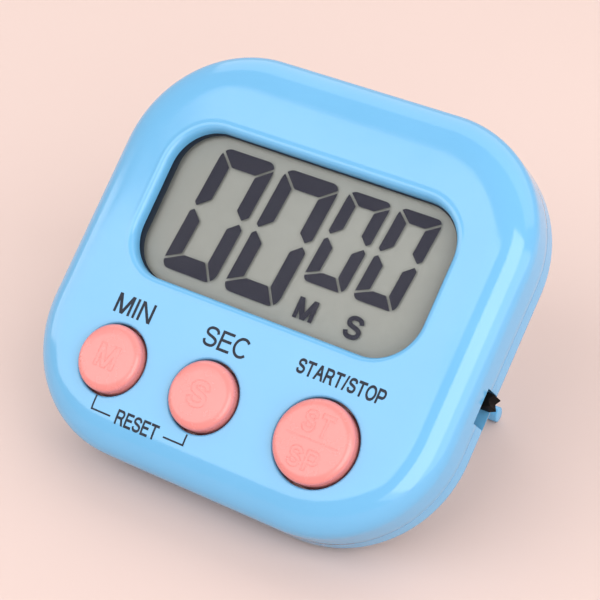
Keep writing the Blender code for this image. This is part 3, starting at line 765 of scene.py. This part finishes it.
def battery_door():
    """The round battery door with lugs, a coin slot and a fine grip ring."""
    face = BACK_Z + 0.2
    shoulder = face + 1.6
    body = DOOR_RADIUS - 0.5
    grip_in, grip_out, lug_radius = 8.6, 9.2, 11.9
    profile = [(0, face), (grip_in, face), (grip_in + 0.1, face + 0.15), (grip_out - 0.1, face + 0.15),
               (grip_out, face),
               (DOOR_RADIUS - 0.45, face), (DOOR_RADIUS - 0.13, face + 0.13), (DOOR_RADIUS, face + 0.45),
               (DOOR_RADIUS, shoulder), (body, shoulder), (body, DOOR_TOP), (0, DOOR_TOP)]
    door = turned("battery_lid", profile, DOOR_CENTRE, 96, 30.0)
    lugs = round_bore(lug_radius, DOOR_TOP - 0.8, DOOR_TOP)
    keep = box("keep", (-2.3, 2.3), (DOOR_CENTRE[1] - 13.0, DOOR_CENTRE[1] + 13.0),
               (DOOR_TOP - 1.8, DOOR_TOP + 1.0))
    combine(lugs, [keep], "INTERSECT")
    combine(door, [lugs], "UNION", 30.0)
    slot = prism("slot", rounded_outline(1.0, 7.0, 0.98, 1, 8, 8, DOOR_CENTRE), face - 1.0, face + 0.9)
    combine(door, [slot], "DIFFERENCE", 30.0)
    even_normals(door)
    return door


def case_screw(number, place):
    """A pan-head screw with a rounded rim and a cross recess."""
    seat, head_z, tip = -11.7, -13.1, -6.2
    head, shank, rim = 1.85, 0.9, 0.55
    profile = [(0, head_z), (head * 0.55, head_z + 0.02)]
    profile += arc_points(head - rim, head_z + rim + 0.03, rim, rim, -90, 0, 5)
    profile += [(head, seat), (shank, seat), (shank, tip - 0.6), (shank * 0.4, tip), (0, tip)]
    item = turned("screw_%d" % number, profile, place, 40, 30.0)
    x, y = place
    z_span = (head_z - CUT_PAST, head_z + 0.6)
    arms = [box("arm", (x - half_x, x + half_x), (y - half_y, y + half_y), z_span)
            for half_x, half_y in ((head * 0.6, 0.2), (0.2, head * 0.6))]
    combine(item, arms, "DIFFERENCE", 30.0)
    return item


# ---------------- buttons


BUTTON_TOP = 1.4
BUTTON_ROUND = 1.25
BUTTON_FOOT = -3.3
CAP_INSET = 0.13


def button_profile(radius):
    """(radius, z) points of a button cap's outside, from its flange up to its middle."""
    drop = BUTTON_ROUND * 0.8
    edge_z = BUTTON_TOP - 0.1
    points = [(radius, BUTTON_FOOT)]
    points += arc_points(radius - BUTTON_ROUND, edge_z - drop, BUTTON_ROUND, drop, 0, 90, 10)
    for share in (0.72, 0.64, 0.4, 0.2):
        points.append((radius * share, BUTTON_TOP - 0.1 * (share / 0.8) ** 2))
    points.append((0, BUTTON_TOP))
    return points


def button_height(radius, distance):
    """Height of the cap's outside at a distance from its middle, by its own profile."""
    points = sorted(button_profile(radius)[1:])
    for (near, z_near), (far, z_far) in zip(points, points[1:]):
        if near <= distance <= far:
            return z_near + (z_far - z_near) * (distance - near) / max(far - near, 1e-9)
    return points[-1][1]


def smooth_path(points):
    """A Catmull-Rom curve through points."""
    steps = 5
    path = []
    ends = [Vector(point) for point in (points[0], *points, points[-1])]
    for before, start, end, after in zip(ends, ends[1:], ends[2:], ends[3:]):
        for step in range(steps):
            t = step / steps
            bent = 2 * start + (end - before) * t + (2 * before - 5 * start + 4 * end - after) * t ** 2
            path.append((bent + (3 * start - before - 3 * end + after) * t ** 3) / 2)
    return path + [ends[-1]]


def ribbon(points, width, closed=False):
    """Quads along a path: its stroke, as convex polygons that share their ends."""
    points = [Vector(point) for point in points]
    count = len(points)
    sides = []
    for i, here in enumerate(points):
        before = points[i - 1] if closed or i else here
        after = points[(i + 1) % count] if closed or i < count - 1 else here
        along = (after - before).normalized()
        across = Vector((-along.y, along.x)) * width / 2
        sides.append((here + across, here - across))
    steps = around(sides) if closed else zip(sides, sides[1:])
    return [[left, right, next_right, next_left] for (left, right), (next_left, next_right) in steps]


def polygon(*corners):
    return [Vector(corner) for corner in corners]


def bar(left, bottom, right, top):
    return polygon((left, bottom), (right, bottom), (right, top), (left, top))


def mirrored(shape, width):
    """A polygon turned over about the middle of a letter's width."""
    return [Vector((width - point.x, point.y)) for point in shape]


# The middle of the stroke of an S of height 1, from its upper end to its lower end
S_SPINE = ((0.93, 0.72), (0.86, 0.86), (0.70, 0.95), (0.50, 0.97), (0.30, 0.95), (0.14, 0.86),
           (0.09, 0.74), (0.15, 0.63), (0.31, 0.565), (0.52, 0.52), (0.74, 0.465), (0.90, 0.38),
           (0.94, 0.27), (0.87, 0.13), (0.70, 0.045), (0.50, 0.03), (0.29, 0.05), (0.13, 0.14),
           (0.06, 0.30))


def glyph(letter, stroke):
    """(width, polygons) of a plain capital of height 1."""
    post = bar(0, 0, stroke, 1)
    if letter == "I":
        return stroke, [post]
    if letter == "E":
        width = 0.72
        middle_bar = bar(0, 0.53 - stroke / 2, width * 0.94, 0.53 + stroke / 2)
        return width, [post, bar(0, 1 - stroke, width, 1), middle_bar, bar(0, 0, width, stroke)]
    if letter == "T":
        width = 0.80
        return width, [bar(0, 1 - stroke, width, 1), bar((width - stroke) / 2, 0, (width + stroke) / 2, 1)]
    if letter == "M":
        width, slant = 0.94, 1.25 * stroke
        left = polygon((0, 1), (width / 2 - slant / 2, 0), (width / 2 + slant / 2, 0), (slant, 1))
        return width, [post, bar(width - stroke, 0, width, 1), left, mirrored(left, width)]
    if letter == "N":
        width, slant = 0.78, 1.2 * stroke
        return width, [post, bar(width - stroke, 0, width, 1),
                       polygon((0, 1), (width - slant, 0), (width, 0), (slant, 1))]
    if letter == "A":
        width, slant = 0.92, 1.08 * stroke
        left = polygon((0, 0), (slant, 0), (width / 2 + slant / 2, 1), (width / 2 - slant / 2, 1))
        return width, [left, mirrored(left, width), bar(0.22 * width, 0.29, 0.78 * width, 0.29 + stroke)]
    if letter == "/":
        width, slant = 0.38, 0.9 * stroke
        return width, [polygon((0, 0), (slant, 0), (width, 1), (width - slant, 1))]
    if letter == "O":
        width = 0.96
        ring = arc_points(width / 2, 0.5, (width - stroke) / 2, (1 - stroke) / 2 + 0.015, 0, 350, 35)
        return width, ribbon(ring, stroke, closed=True)
    if letter == "C":
        ring = arc_points(0.48, 0.5, 0.48 - stroke / 2, (1 - stroke) / 2 + 0.015, 42, 318, 30)
        return 0.90, ribbon(ring, stroke)
    if letter == "S":
        width = 0.80
        spine = [(stroke / 2 + (width - stroke) * (x - 0.06) / 0.88,
                  stroke / 2 + (1 - stroke) * (y - 0.03) / 0.94) for x, y in S_SPINE]
        return width, ribbon(smooth_path(spine), stroke)
    width, low = (0.86, 0.47) if letter == "R" else (0.80, 0.43)
    top = 1 - stroke / 2
    half = (top - low) / 2
    bend = arc_points(0.80 - stroke / 2 - half, (top + low) / 2, half, half, 90, -90, 14)
    parts = [post] + ribbon([(stroke / 2, top)] + bend + [(stroke / 2, low)], stroke)
    if letter == "R":
        foot = 1.2 * stroke
        parts.append(polygon((width - foot, 0), (width, 0), (0.46 + foot, low), (0.46, low)))
    return width, parts


def lettering(text, x_span, y_span, stroke, gap):
    """Polygons of a line of text, scaled to fill a rectangle; gap parts its letters."""
    pen, polygons = 0.0, []
    for letter in text:
        width, parts = glyph(letter, stroke)
        side = 0.04 if letter == "I" else 0.0
        for part in parts:
            polygons.append([Vector((point.x + pen + side, point.y)) for point in part])
        pen += width + 2 * side + gap
    total = pen - gap
    scale_x, scale_y = (x_span[1] - x_span[0]) / total, y_span[1] - y_span[0]
    return [[Vector((x_span[0] + point.x * scale_x, y_span[0] + point.y * scale_y)) for point in part]
            for part in polygons]


def inside_convex(point, shape):
    signs = [(second - first).cross(point - first) for first, second in around(shape)]
    return all(sign >= -1e-9 for sign in signs) or all(sign <= 1e-9 for sign in signs)


def union(polygons, longest=0.5):
    """One flat triangulation of overlapping convex polygons: (points, triangles)."""
    points, edges = [], []
    for shape in polygons:
        first = len(points)
        for corner, following in around(shape):
            steps = max(1, math.ceil((following - corner).length / longest))
            points += [corner.lerp(following, step / steps) for step in range(steps)]
        edges += around(range(first, len(points)))
    placed, _, faces, _, _, _ = delaunay_2d_cdt(points, edges, [], 0, 1e-4)
    kept = []
    for face in faces:
        centre = face_middle(placed, face)
        if any(inside_convex(centre, shape) for shape in polygons):
            kept.append(list(face))
    return placed, kept


def outline_edges(faces):
    """Edges that belong to one face, in that face's direction."""
    directed = {edge for face in faces for edge in around(face)}
    return {first: second for first, second in directed if (second, first) not in directed}


def plate(mesh, polygons, low, high):
    """A closed plate over the union of polygons; low and high are functions of x and y."""
    points, faces = union(polygons)
    used = sorted({i for face in faces for i in face})
    bottom = {i: mesh.verts.new((*points[i], low(*points[i]))) for i in used}
    top = {i: mesh.verts.new((*points[i], high(*points[i]))) for i in used}
    for face in faces:
        mesh.faces.new([top[i] for i in face])
        mesh.faces.new([bottom[i] for i in reversed(face)])
    for first, second in outline_edges(faces).items():
        mesh.faces.new((bottom[first], bottom[second], top[second], top[first]))


def glyph_outlines(polygons):
    """Closed outlines of the union of polygons."""
    points, faces = union(polygons, 5.0)
    follow = outline_edges(faces)
    paths = []
    while follow:
        start, current = next(iter(follow.items()))
        path = [points[start]]
        del follow[start]
        while current != start and current in follow:
            path.append(points[current])
            current = follow.pop(current)
        paths.append(path)
    return paths


def ridge(mesh, path, width, rise, height, closed=True):
    """A low half-round ridge along a path on a surface given by height(x, y)."""
    points = [Vector(point) for point in path]
    along = [(after - here).normalized() for here, after in around(points)]
    if not closed:
        along[-1] = along[-2]
    section = ((-0.5, -0.12), (-0.34, 0.62 * rise), (0.0, rise), (0.34, 0.62 * rise), (0.5, -0.12))
    loops = []
    for i, here in enumerate(points):
        first, second = along[i - 1] if closed or i else along[0], along[i]
        normal = Vector((-first.y - second.y, first.x + second.x))
        if normal.length < 1e-6:
            normal = Vector((-first.y, first.x))
        normal.normalize()
        stretch = min(1.0 / max(normal.dot(Vector((-first.y, first.x))), 0.5), 2.0)
        ring = []
        for across, lift in section:
            place = here + normal * (across * width * stretch)
            ring.append(mesh.verts.new((place.x, place.y, height(place.x, place.y) + lift)))
        loops.append(ring)
    if closed:
        skin(mesh, *loops, loops[0])
    else:
        skin(mesh, *loops)
        mesh.faces.new(list(reversed(loops[0])))
        mesh.faces.new(loops[-1])


# Each raised mark: its width and height, the share of the height that a stroke takes, and its
# distance above the middle of the button
MARKS = {"M": (3.1, 3.3, 0.17, 0.0), "S": (3.0, 3.7, 0.2, 0.0), "ST": (4.2, 3.0, 0.2, 2.25),
         "SP": (4.4, 2.8, 0.2, -2.6)}
BUTTON_MARKS = {"min_button": ["M"], "sec_button": ["S"], "start_stop_button": ["ST", "SP"]}
RIDGE_RISE = 0.06


def button_cap(name):
    """A round cap with a pillow edge, its flange and its stem."""
    radius = BUTTON_RADIUS[name] - CAP_INSET
    flange = radius + 1.1
    flange_under = BUTTON_FOOT - 0.3
    profile = [(0, -3.7), (2.2, -3.7), (2.2, flange_under), (flange, flange_under), (flange, BUTTON_FOOT)]
    cap = turned(name + "_cap", profile + button_profile(radius), BUTTON_CENTRE[name], 80, 50.0)
    clearances = [round_bore(2.8, BUTTON_FOOT - 1.2, BUTTON_FOOT + 0.1, place, 32)
                  for place in SCREW_PLACES]
    combine(cap, clearances, "DIFFERENCE", 50.0)
    return cap


def button_letters(name):
    """Raised outlines of a button's letters, with a line between two rows of them."""
    radius = BUTTON_RADIUS[name] - CAP_INSET
    middle_x, middle_y = BUTTON_CENTRE[name]

    def height(x, y):
        return button_height(radius, math.hypot(x - middle_x, y - middle_y))

    mesh = bmesh.new()
    for text in BUTTON_MARKS[name]:
        size_x, size_y, stroke, shift = MARKS[text]
        low_x, low_y = middle_x - size_x / 2, middle_y + shift - size_y / 2
        shapes = lettering(text, (low_x, low_x + size_x), (low_y, low_y + size_y), stroke, 0.2)
        for path in glyph_outlines(shapes):
            ridge(mesh, path, 0.2, RIDGE_RISE, height)
    if len(BUTTON_MARKS[name]) > 1:
        line = [(middle_x + 0.1 + 7.6 * (i / 12 - 0.5), middle_y) for i in range(13)]
        ridge(mesh, line, 0.22, RIDGE_RISE, height, closed=False)
    return new_object(name + "_letters", mesh, 60.0)


# ---------------- display


# Artwork is laid out for a case 66 mm wide, and GAUGE brings it to this one
GAUGE = 0.9697
SEGMENT_Z = -2.62
PRINT_THICK = 0.02
PRINT_SINK = 0.03
PRINT_LIFT = 0.022
PANE_BACK = -2.5
FILM_TOP = -2.95
# How far the main camera's line of sight moves across the face for each millimetre of height
SIGHT_SLOPE = (0.5285, -0.156)


def clip(shape, point, normal):
    """The part of a convex polygon on the side of a line that its normal points to."""
    kept = []
    for first, second in around(shape):
        first_side = (first - point).dot(normal)
        second_side = (second - point).dot(normal)
        if first_side >= 0:
            kept.append(first)
        if first_side * second_side < 0:
            kept.append(first + (second - first) * (first_side / (first_side - second_side)))
    return kept


def digit_body(width, height, round_x, round_y):
    """A digit's outside before its strokes are parted: a rectangle with rounded corners."""
    right, top = width - round_x, height - round_y
    points = []
    for number, (x, y) in enumerate(((right, top), (round_x, top), (round_x, round_y), (right, round_y))):
        points += arc_points(x, y, round_x, round_y, 90 * number, 90 * number + 90, 8)
    return polygon(*points)


def cut_line(first, second, gap):
    """Both sides of a mitre cut from first to second: (point, normal) to the left, then right."""
    along = (second - first).normalized()
    left = Vector((-along.y, along.x))
    return (first + left * gap / 2, left), (first - left * gap / 2, -left)


def zero_segments(width, height, stroke_x, stroke_y, tip, corner):
    """The six lit segments of a 0, unslanted, from its lower left corner."""
    mitre_gap = 0.36
    waist_gap = 0.6
    slope = math.radians(40.0)
    outside = digit_body(width, height, *corner)

    def mitre(outer, inner):
        """A cut from an outer to an inner point, both in strokes from the nearest corner."""
        ends = [Vector((width * (x < 0) + x * stroke_x, height * (y < 0) + y * stroke_y))
                for x, y in (outer, inner)]
        return cut_line(*ends, mitre_gap)

    # x < 0 counts strokes back from the right side and y < 0 from the top
    top_left = mitre((0.16, -0.30), (1.10, -1.03))
    top_right = mitre((-0.05, -0.38), (-1.02, -1.05))
    low_left = mitre((0.05, 0.52), (1.05, 0.99))
    low_right = mitre((-0.37, 0.16), (-1.08, 0.99))

    def part(*planes):
        shape = outside
        for point, normal in planes:
            shape = clip(shape, point, normal)
        return shape

    def waist(x, side):
        """The two slopes of a pointed end: side 1 is above the waist and -1 is below."""
        point = Vector((x, height / 2 + side * waist_gap / 2))
        return [(point, Vector((lean * math.sin(slope), side * math.cos(slope)))) for lean in (-1, 1)]

    left = (Vector((stroke_x, 0.0)), Vector((-1.0, 0.0)))
    right = (Vector((width - stroke_x, 0.0)), Vector((1.0, 0.0)))
    top = (Vector((0.0, height - stroke_y)), Vector((0.0, 1.0)))
    bottom = (Vector((0.0, stroke_y)), Vector((0.0, -1.0)))
    return [
        part(top, top_left[0], top_right[1]),
        part(bottom, low_left[1], low_right[0]),
        part(left, top_left[1], *waist(tip[0], 1)),
        part(right, top_right[0], *waist(width - tip[1], 1)),
        part(left, low_left[0], *waist(tip[0], -1)),
        part(right, low_right[1], *waist(width - tip[1], -1)),
    ]


def slab(mesh, outline, z_low, z_high):
    """A closed flat plate over an outline."""
    low = loop_at(mesh, outline, z_low)
    high = loop_at(mesh, outline, z_high)
    mesh.faces.new(list(reversed(low)))
    mesh.faces.new(high)
    skin(mesh, low, high)


MINUTE = {"width": 9.1, "height": 19.35, "stroke_x": 2.27, "stroke_y": 2.58,
          "tip": (0.52, 0.85), "corner": (1.4, 1.7)}
SECOND = {"width": 6.75, "height": 14.19, "stroke_x": 1.85, "stroke_y": 1.85,
          "tip": (0.45, 0.55), "corner": (1.05, 1.2)}
DIGIT_TOP = 15.0
# Each digit: its style, its left side's x at the height DIGIT_TOP, its bottom and its slant
DIGITS = ((MINUTE, -16.6, -3.5, 0.085), (MINUTE, -5.95, -3.5, 0.085),
          (SECOND, 4.7, 1.58, 0.098), (SECOND, 12.78, 1.58, 0.098))


def behind_pane(x, y):
    """Moves artwork laid out on the pane's front to the segment layer below it."""
    depth = SEGMENT_Z - PANE_TOP
    return (x + SIGHT_SLOPE[0] * depth, y + SIGHT_SLOPE[1] * depth)


def display_digits():
    mesh = bmesh.new()
    for style, left, bottom, slant in DIGITS:
        for segment in zero_segments(**style):
            outline = []
            for point in segment:
                y = point.y + bottom
                x = point.x + left + slant * (y - DIGIT_TOP)
                outline.append(behind_pane(x * GAUGE, y * GAUGE))
            slab(mesh, outline, SEGMENT_Z, SEGMENT_Z + PRINT_THICK)
    return new_object("display_digits", mesh, 30.0)


def gauge_text(text, x_span, y_span, stroke, gap=0.11, move=lambda x, y: (x, y)):
    """A line of text in a rectangle given at artwork size."""
    (left, right), (bottom, top) = x_span, y_span
    low = move(left * GAUGE, bottom * GAUGE)
    high = move(right * GAUGE, top * GAUGE)
    return lettering(text, (low[0], high[0]), (low[1], high[1]), stroke, gap)


def printed(name, shapes, low, high):
    """One thin piece over every shape, each a list of polygons; low and high are its heights."""
    mesh = bmesh.new()
    for polygons in shapes:
        plate(mesh, polygons, low, high)
    return new_object(name, mesh, 30.0)


def display_letters():
    shapes = (gauge_text("M", (4.4, 7.5), (-3.7, -0.6), 0.19, move=behind_pane),
              gauge_text("S", (12.3, 15.0), (-3.85, -0.5), 0.2, move=behind_pane))
    return printed("display_letters", shapes, lambda x, y: SEGMENT_Z, lambda x, y: SEGMENT_Z + PRINT_THICK)


def legends():
    shapes = (gauge_text("MIN", (-20.8, -14.4), (-12.2, -9.3), 0.14),
              gauge_text("SEC", (-5.6, 1.7), (-12.0, -9.1), 0.14),
              gauge_text("START/STOP", (9.3, 22.9), (-10.85, -8.7), 0.19, 0.07),
              gauge_text("RESET", (-13.2, -6.1), (-26.75, -24.6), 0.175, 0.09))
    return printed("legends", shapes, on_face(-PRINT_SINK), on_face(PRINT_LIFT))


def reset_brackets():
    """The two angled lines that join the small buttons to the word between them."""
    half = 0.125
    shapes = []
    for x, foot, inner, top in ((-17.4, -26.0, -14.1, -24.0), (-1.8, -25.8, -5.1, -24.2)):
        left, right = min(x - half, inner), max(x + half, inner)
        parts = [bar(x - half, foot - half, x + half, top), bar(left, foot - half, right, foot + half)]
        shapes.append([[point * GAUGE for point in part] for part in parts])
    return printed("reset_brackets", shapes, on_face(-PRINT_SINK), on_face(PRINT_LIFT))


def painted_window_shade():
    """A dark sheet on the pane, wider at the left, mostly hidden by the window's wall: painted shade that
    stands for the wall's shadow on the display, widest at the left and top where that shadow falls.
    """
    low = PANE_TOP + 0.005
    high = low + 0.025
    # Painted shade: the widths follow where the window wall shades the display, widest at the left and top
    left, right, top, bottom = 0.98, 0.45, 0.24, 0.02
    outer = rounded_outline(WINDOW_HALF[0] + 0.5, WINDOW_HALF[1] + 0.5, WINDOW_RADIUS + 0.3,
                            *WINDOW_STEPS, (0.0, WINDOW_Y))
    inner = rounded_outline(WINDOW_HALF[0] - (left + right) / 2, WINDOW_HALF[1] - (top + bottom) / 2,
                            WINDOW_RADIUS - 0.6, *WINDOW_STEPS,
                            ((left - right) / 2, WINDOW_Y + (bottom - top) / 2))
    mesh = bmesh.new()
    section = ((outer, low), (outer, high), (inner, high), (inner, low))
    loops = [loop_at(mesh, outline, z) for outline, z in section]
    skin(mesh, *loops, loops[0])
    return new_object("painted_window_shade", mesh, 40.0)


def display_pane():
    low, high = span("display_glass")
    pane = box("display_pane", (low.x, high.x), (low.y, high.y), (PANE_BACK, high.z))
    bevel(pane, 0.12)
    return pane


def display_film():
    """The reflecting back layer, just below the segments."""
    low, high = span("display_backplate")
    return box("display_film", (low.x, high.x), (low.y, high.y), (low.z, FILM_TOP))


# ---------------- slide switch


def switch_knob():
    """The switch's knob: a block with a grooved end and softened edges."""
    low, high = span("switch_knob")
    tip = high.x
    groove = (low.y + high.y) / 2 + 0.2
    outline = [(low.x, low.y), (tip - 0.9, low.y), (tip, low.y + 0.4), (tip - 0.5, groove),
               (tip, high.y - 0.08), (tip - 0.2, high.y), (low.x, high.y)]
    knob = prism("slide_knob", outline, low.z, high.z)
    bevel(knob, 0.1, angle=20.0)
    return knob


# ---------------- assembly


def build_object():
    finish_piece(front_shell(), "case", "blue_plastic", "blue", "front_shell")
    finish_piece(rear_shell(), "case", "blue_plastic", "blue", "rear_shell")
    finish_piece(stand(), "stand", "blue_plastic", "blue", "stand", placing=stand_opening())
    finish_piece(battery_door(), "battery_door", "blue_plastic", "blue", "battery_door")
    nodes = [name for name in frame["nodes"] if name.startswith("case_screw")]
    for number, place in enumerate(SCREW_PLACES, 1):
        near = min(nodes, key=lambda name: (middle(name).xy - Vector(place)).length)
        finish_piece(case_screw(number, place), "case", "steel", "steel", near)
    for name in BUTTON_RADIUS:
        finish_piece(button_cap(name), name, "coral_plastic", "coral", name)
        finish_piece(button_letters(name), name, "coral_plastic", "coral")
    finish_piece(display_pane(), "case", "clear_glass", "pane", "display_glass")
    finish_piece(display_film(), "case", "display_grey", "reflector", "display_backplate")
    # Painted shade: a dark sheet on the pane in place of the window wall's shadow on the display
    finish_piece(painted_window_shade(), "case", "black_plastic", "shade_sheet")
    finish_piece(display_digits(), "case", "black_plastic", "segment")
    finish_piece(display_letters(), "case", "black_plastic", "segment")
    finish_piece(legends(), "case", "black_plastic", "ink")
    finish_piece(reset_brackets(), "case", "black_plastic", "ink")
    finish_piece(switch_knob(), "switch_knob", "black_plastic", "black", "switch_knob")


# Looks of the CAD parts that are shown as they are, by the start of their names
CARRIED_LOOKS = {
    "display_frame": "white", "contact_strip": "rubber", "circuit_board": "board", "chip_cover": "black",
    "crystal": "steel", "capacitor": "ceramic", "resistor": "black", "rubber_keypad": "rubber",
    "switch_body": "steel", "coin_cell": "steel", "cell_holder": "white", "cell_contact": "steel",
    "buzzer_disc": "brass", "buzzer_ceramic": "ceramic", "buzzer_wire_a": "black", "buzzer_wire_b": "red",
    "board_screw": "steel",
}


def dress_carried_nodes():
    for name, item in frame["nodes"].items():
        for start, look in CARRIED_LOOKS.items():
            if not name.startswith(start):
                continue
            if not item.data.materials:
                item.data.materials.append(LOOKS[look])
            for slot in item.material_slots:
                slot.material = LOOKS[look]


# ---------------- floor, light and camera


def floor():
    """A plain pale table top with a faint mottle."""
    half, cells = 3.0, 40
    mesh = bmesh.new()
    bmesh.ops.create_grid(mesh, x_segments=cells, y_segments=cells, size=half)
    item = new_object("table_top", mesh)
    look = surface("table_paint", (0.622, 0.482, 0.441), (0.634, 0.494, 0.453), 0.8, tint_scale=8.0,
                   grain_scale=900.0, grain_depth=0.01, specular=0.15)
    item.data.materials.append(look)


def panel(name, across, upright, distance, radiance):
    """A soft lamp that fills a range of angles from the face's normal, in degrees.

    across and upright are (low, high) angles to the right and towards the top. The lamp's
    sides lie along the case's own axes.
    """
    half_x = math.radians(across[1] - across[0]) / 2
    half_y = math.radians(upright[1] - upright[0]) / 2
    data = bpy.data.lights.new(name, "AREA")
    data.shape = "RECTANGLE"
    data.size = 2 * distance * math.tan(half_x)
    data.size_y = 2 * distance * math.tan(half_y)
    data.energy = radiance * math.pi * data.size * data.size_y
    item = add_object(name, data)
    away = case_direction(sum(across) / 2, sum(upright) / 2)
    up = CASE.to_3x3() @ Vector((0.0, 1.0, 0.0))
    right = up.cross(away).normalized()
    turn = Matrix((right, away.cross(right), away)).transposed()
    item.matrix_world = Matrix.Translation(CASE.translation + away * distance) @ turn.to_4x4()


def case_direction(to_right, to_top):
    """World direction at two angles from the face's normal, in degrees."""
    right, top = math.radians(to_right), math.radians(to_top)
    aim = Vector((math.sin(right) * math.cos(top), math.sin(top), math.cos(right) * math.cos(top)))
    return (CASE.to_3x3() @ aim).normalized()


def studio():
    world = bpy.data.worlds.new("studio")
    bpy.context.scene.world = world
    world.use_nodes = True
    back = world.node_tree.nodes["Background"]
    back.inputs["Color"].default_value = (1.0, 0.97, 0.95, 1.0)
    back.inputs["Strength"].default_value = 0.66
    panel("key_low", (-60.0, 11.0), (-20.0, 8.8), 1.5, 2.15)
    panel("key_high", (-34.5, 11.0), (8.8, 18.5), 1.5, 2.15)
    panel("key_left", (-81.0, -60.0), (-8.0, 8.8), 1.5, 2.0)
    panel("side", (31.0, 66.0), (-28.0, 30.0), 1.2, 3.4)
    panel("side_low", (31.0, 66.0), (-35.0, -28.0), 1.2, 1.2)
    panel("side_fill", (66.0, 110.0), (-40.0, 25.0), 1.2, 1.5)
    panel("back", (-50.0, 50.0), (58.0, 110.0), 1.5, 1.0)
    bpy.context.scene.view_settings.view_transform = "Standard"


# The camera's place in the case frame, and the direction from its target back to it
CAMERA_PLACE = Vector((116.98, -34.68, 221.22))
CAMERA_AZIMUTH = math.radians(32.99)
CAMERA_ELEVATION = math.radians(34.99)
CAMERA_LENS = 113.97


def camera():
    data = bpy.data.cameras.new("camera")
    data.sensor_width = 36.0
    data.lens = CAMERA_LENS
    data.clip_start, data.clip_end = 0.01, 10.0
    item = add_object("camera", data)
    level = math.cos(CAMERA_ELEVATION)
    back = Vector((math.sin(CAMERA_AZIMUTH) * level, -math.cos(CAMERA_AZIMUTH) * level,
                   math.sin(CAMERA_ELEVATION)))
    item.location = CASE @ CAMERA_PLACE
    item.rotation_mode = "QUATERNION"
    item.rotation_quaternion = (-back).to_track_quat("-Z", "Y")
    bpy.context.scene.camera = item


camera()
studio()
floor()
build_object()
dress_carried_nodes()
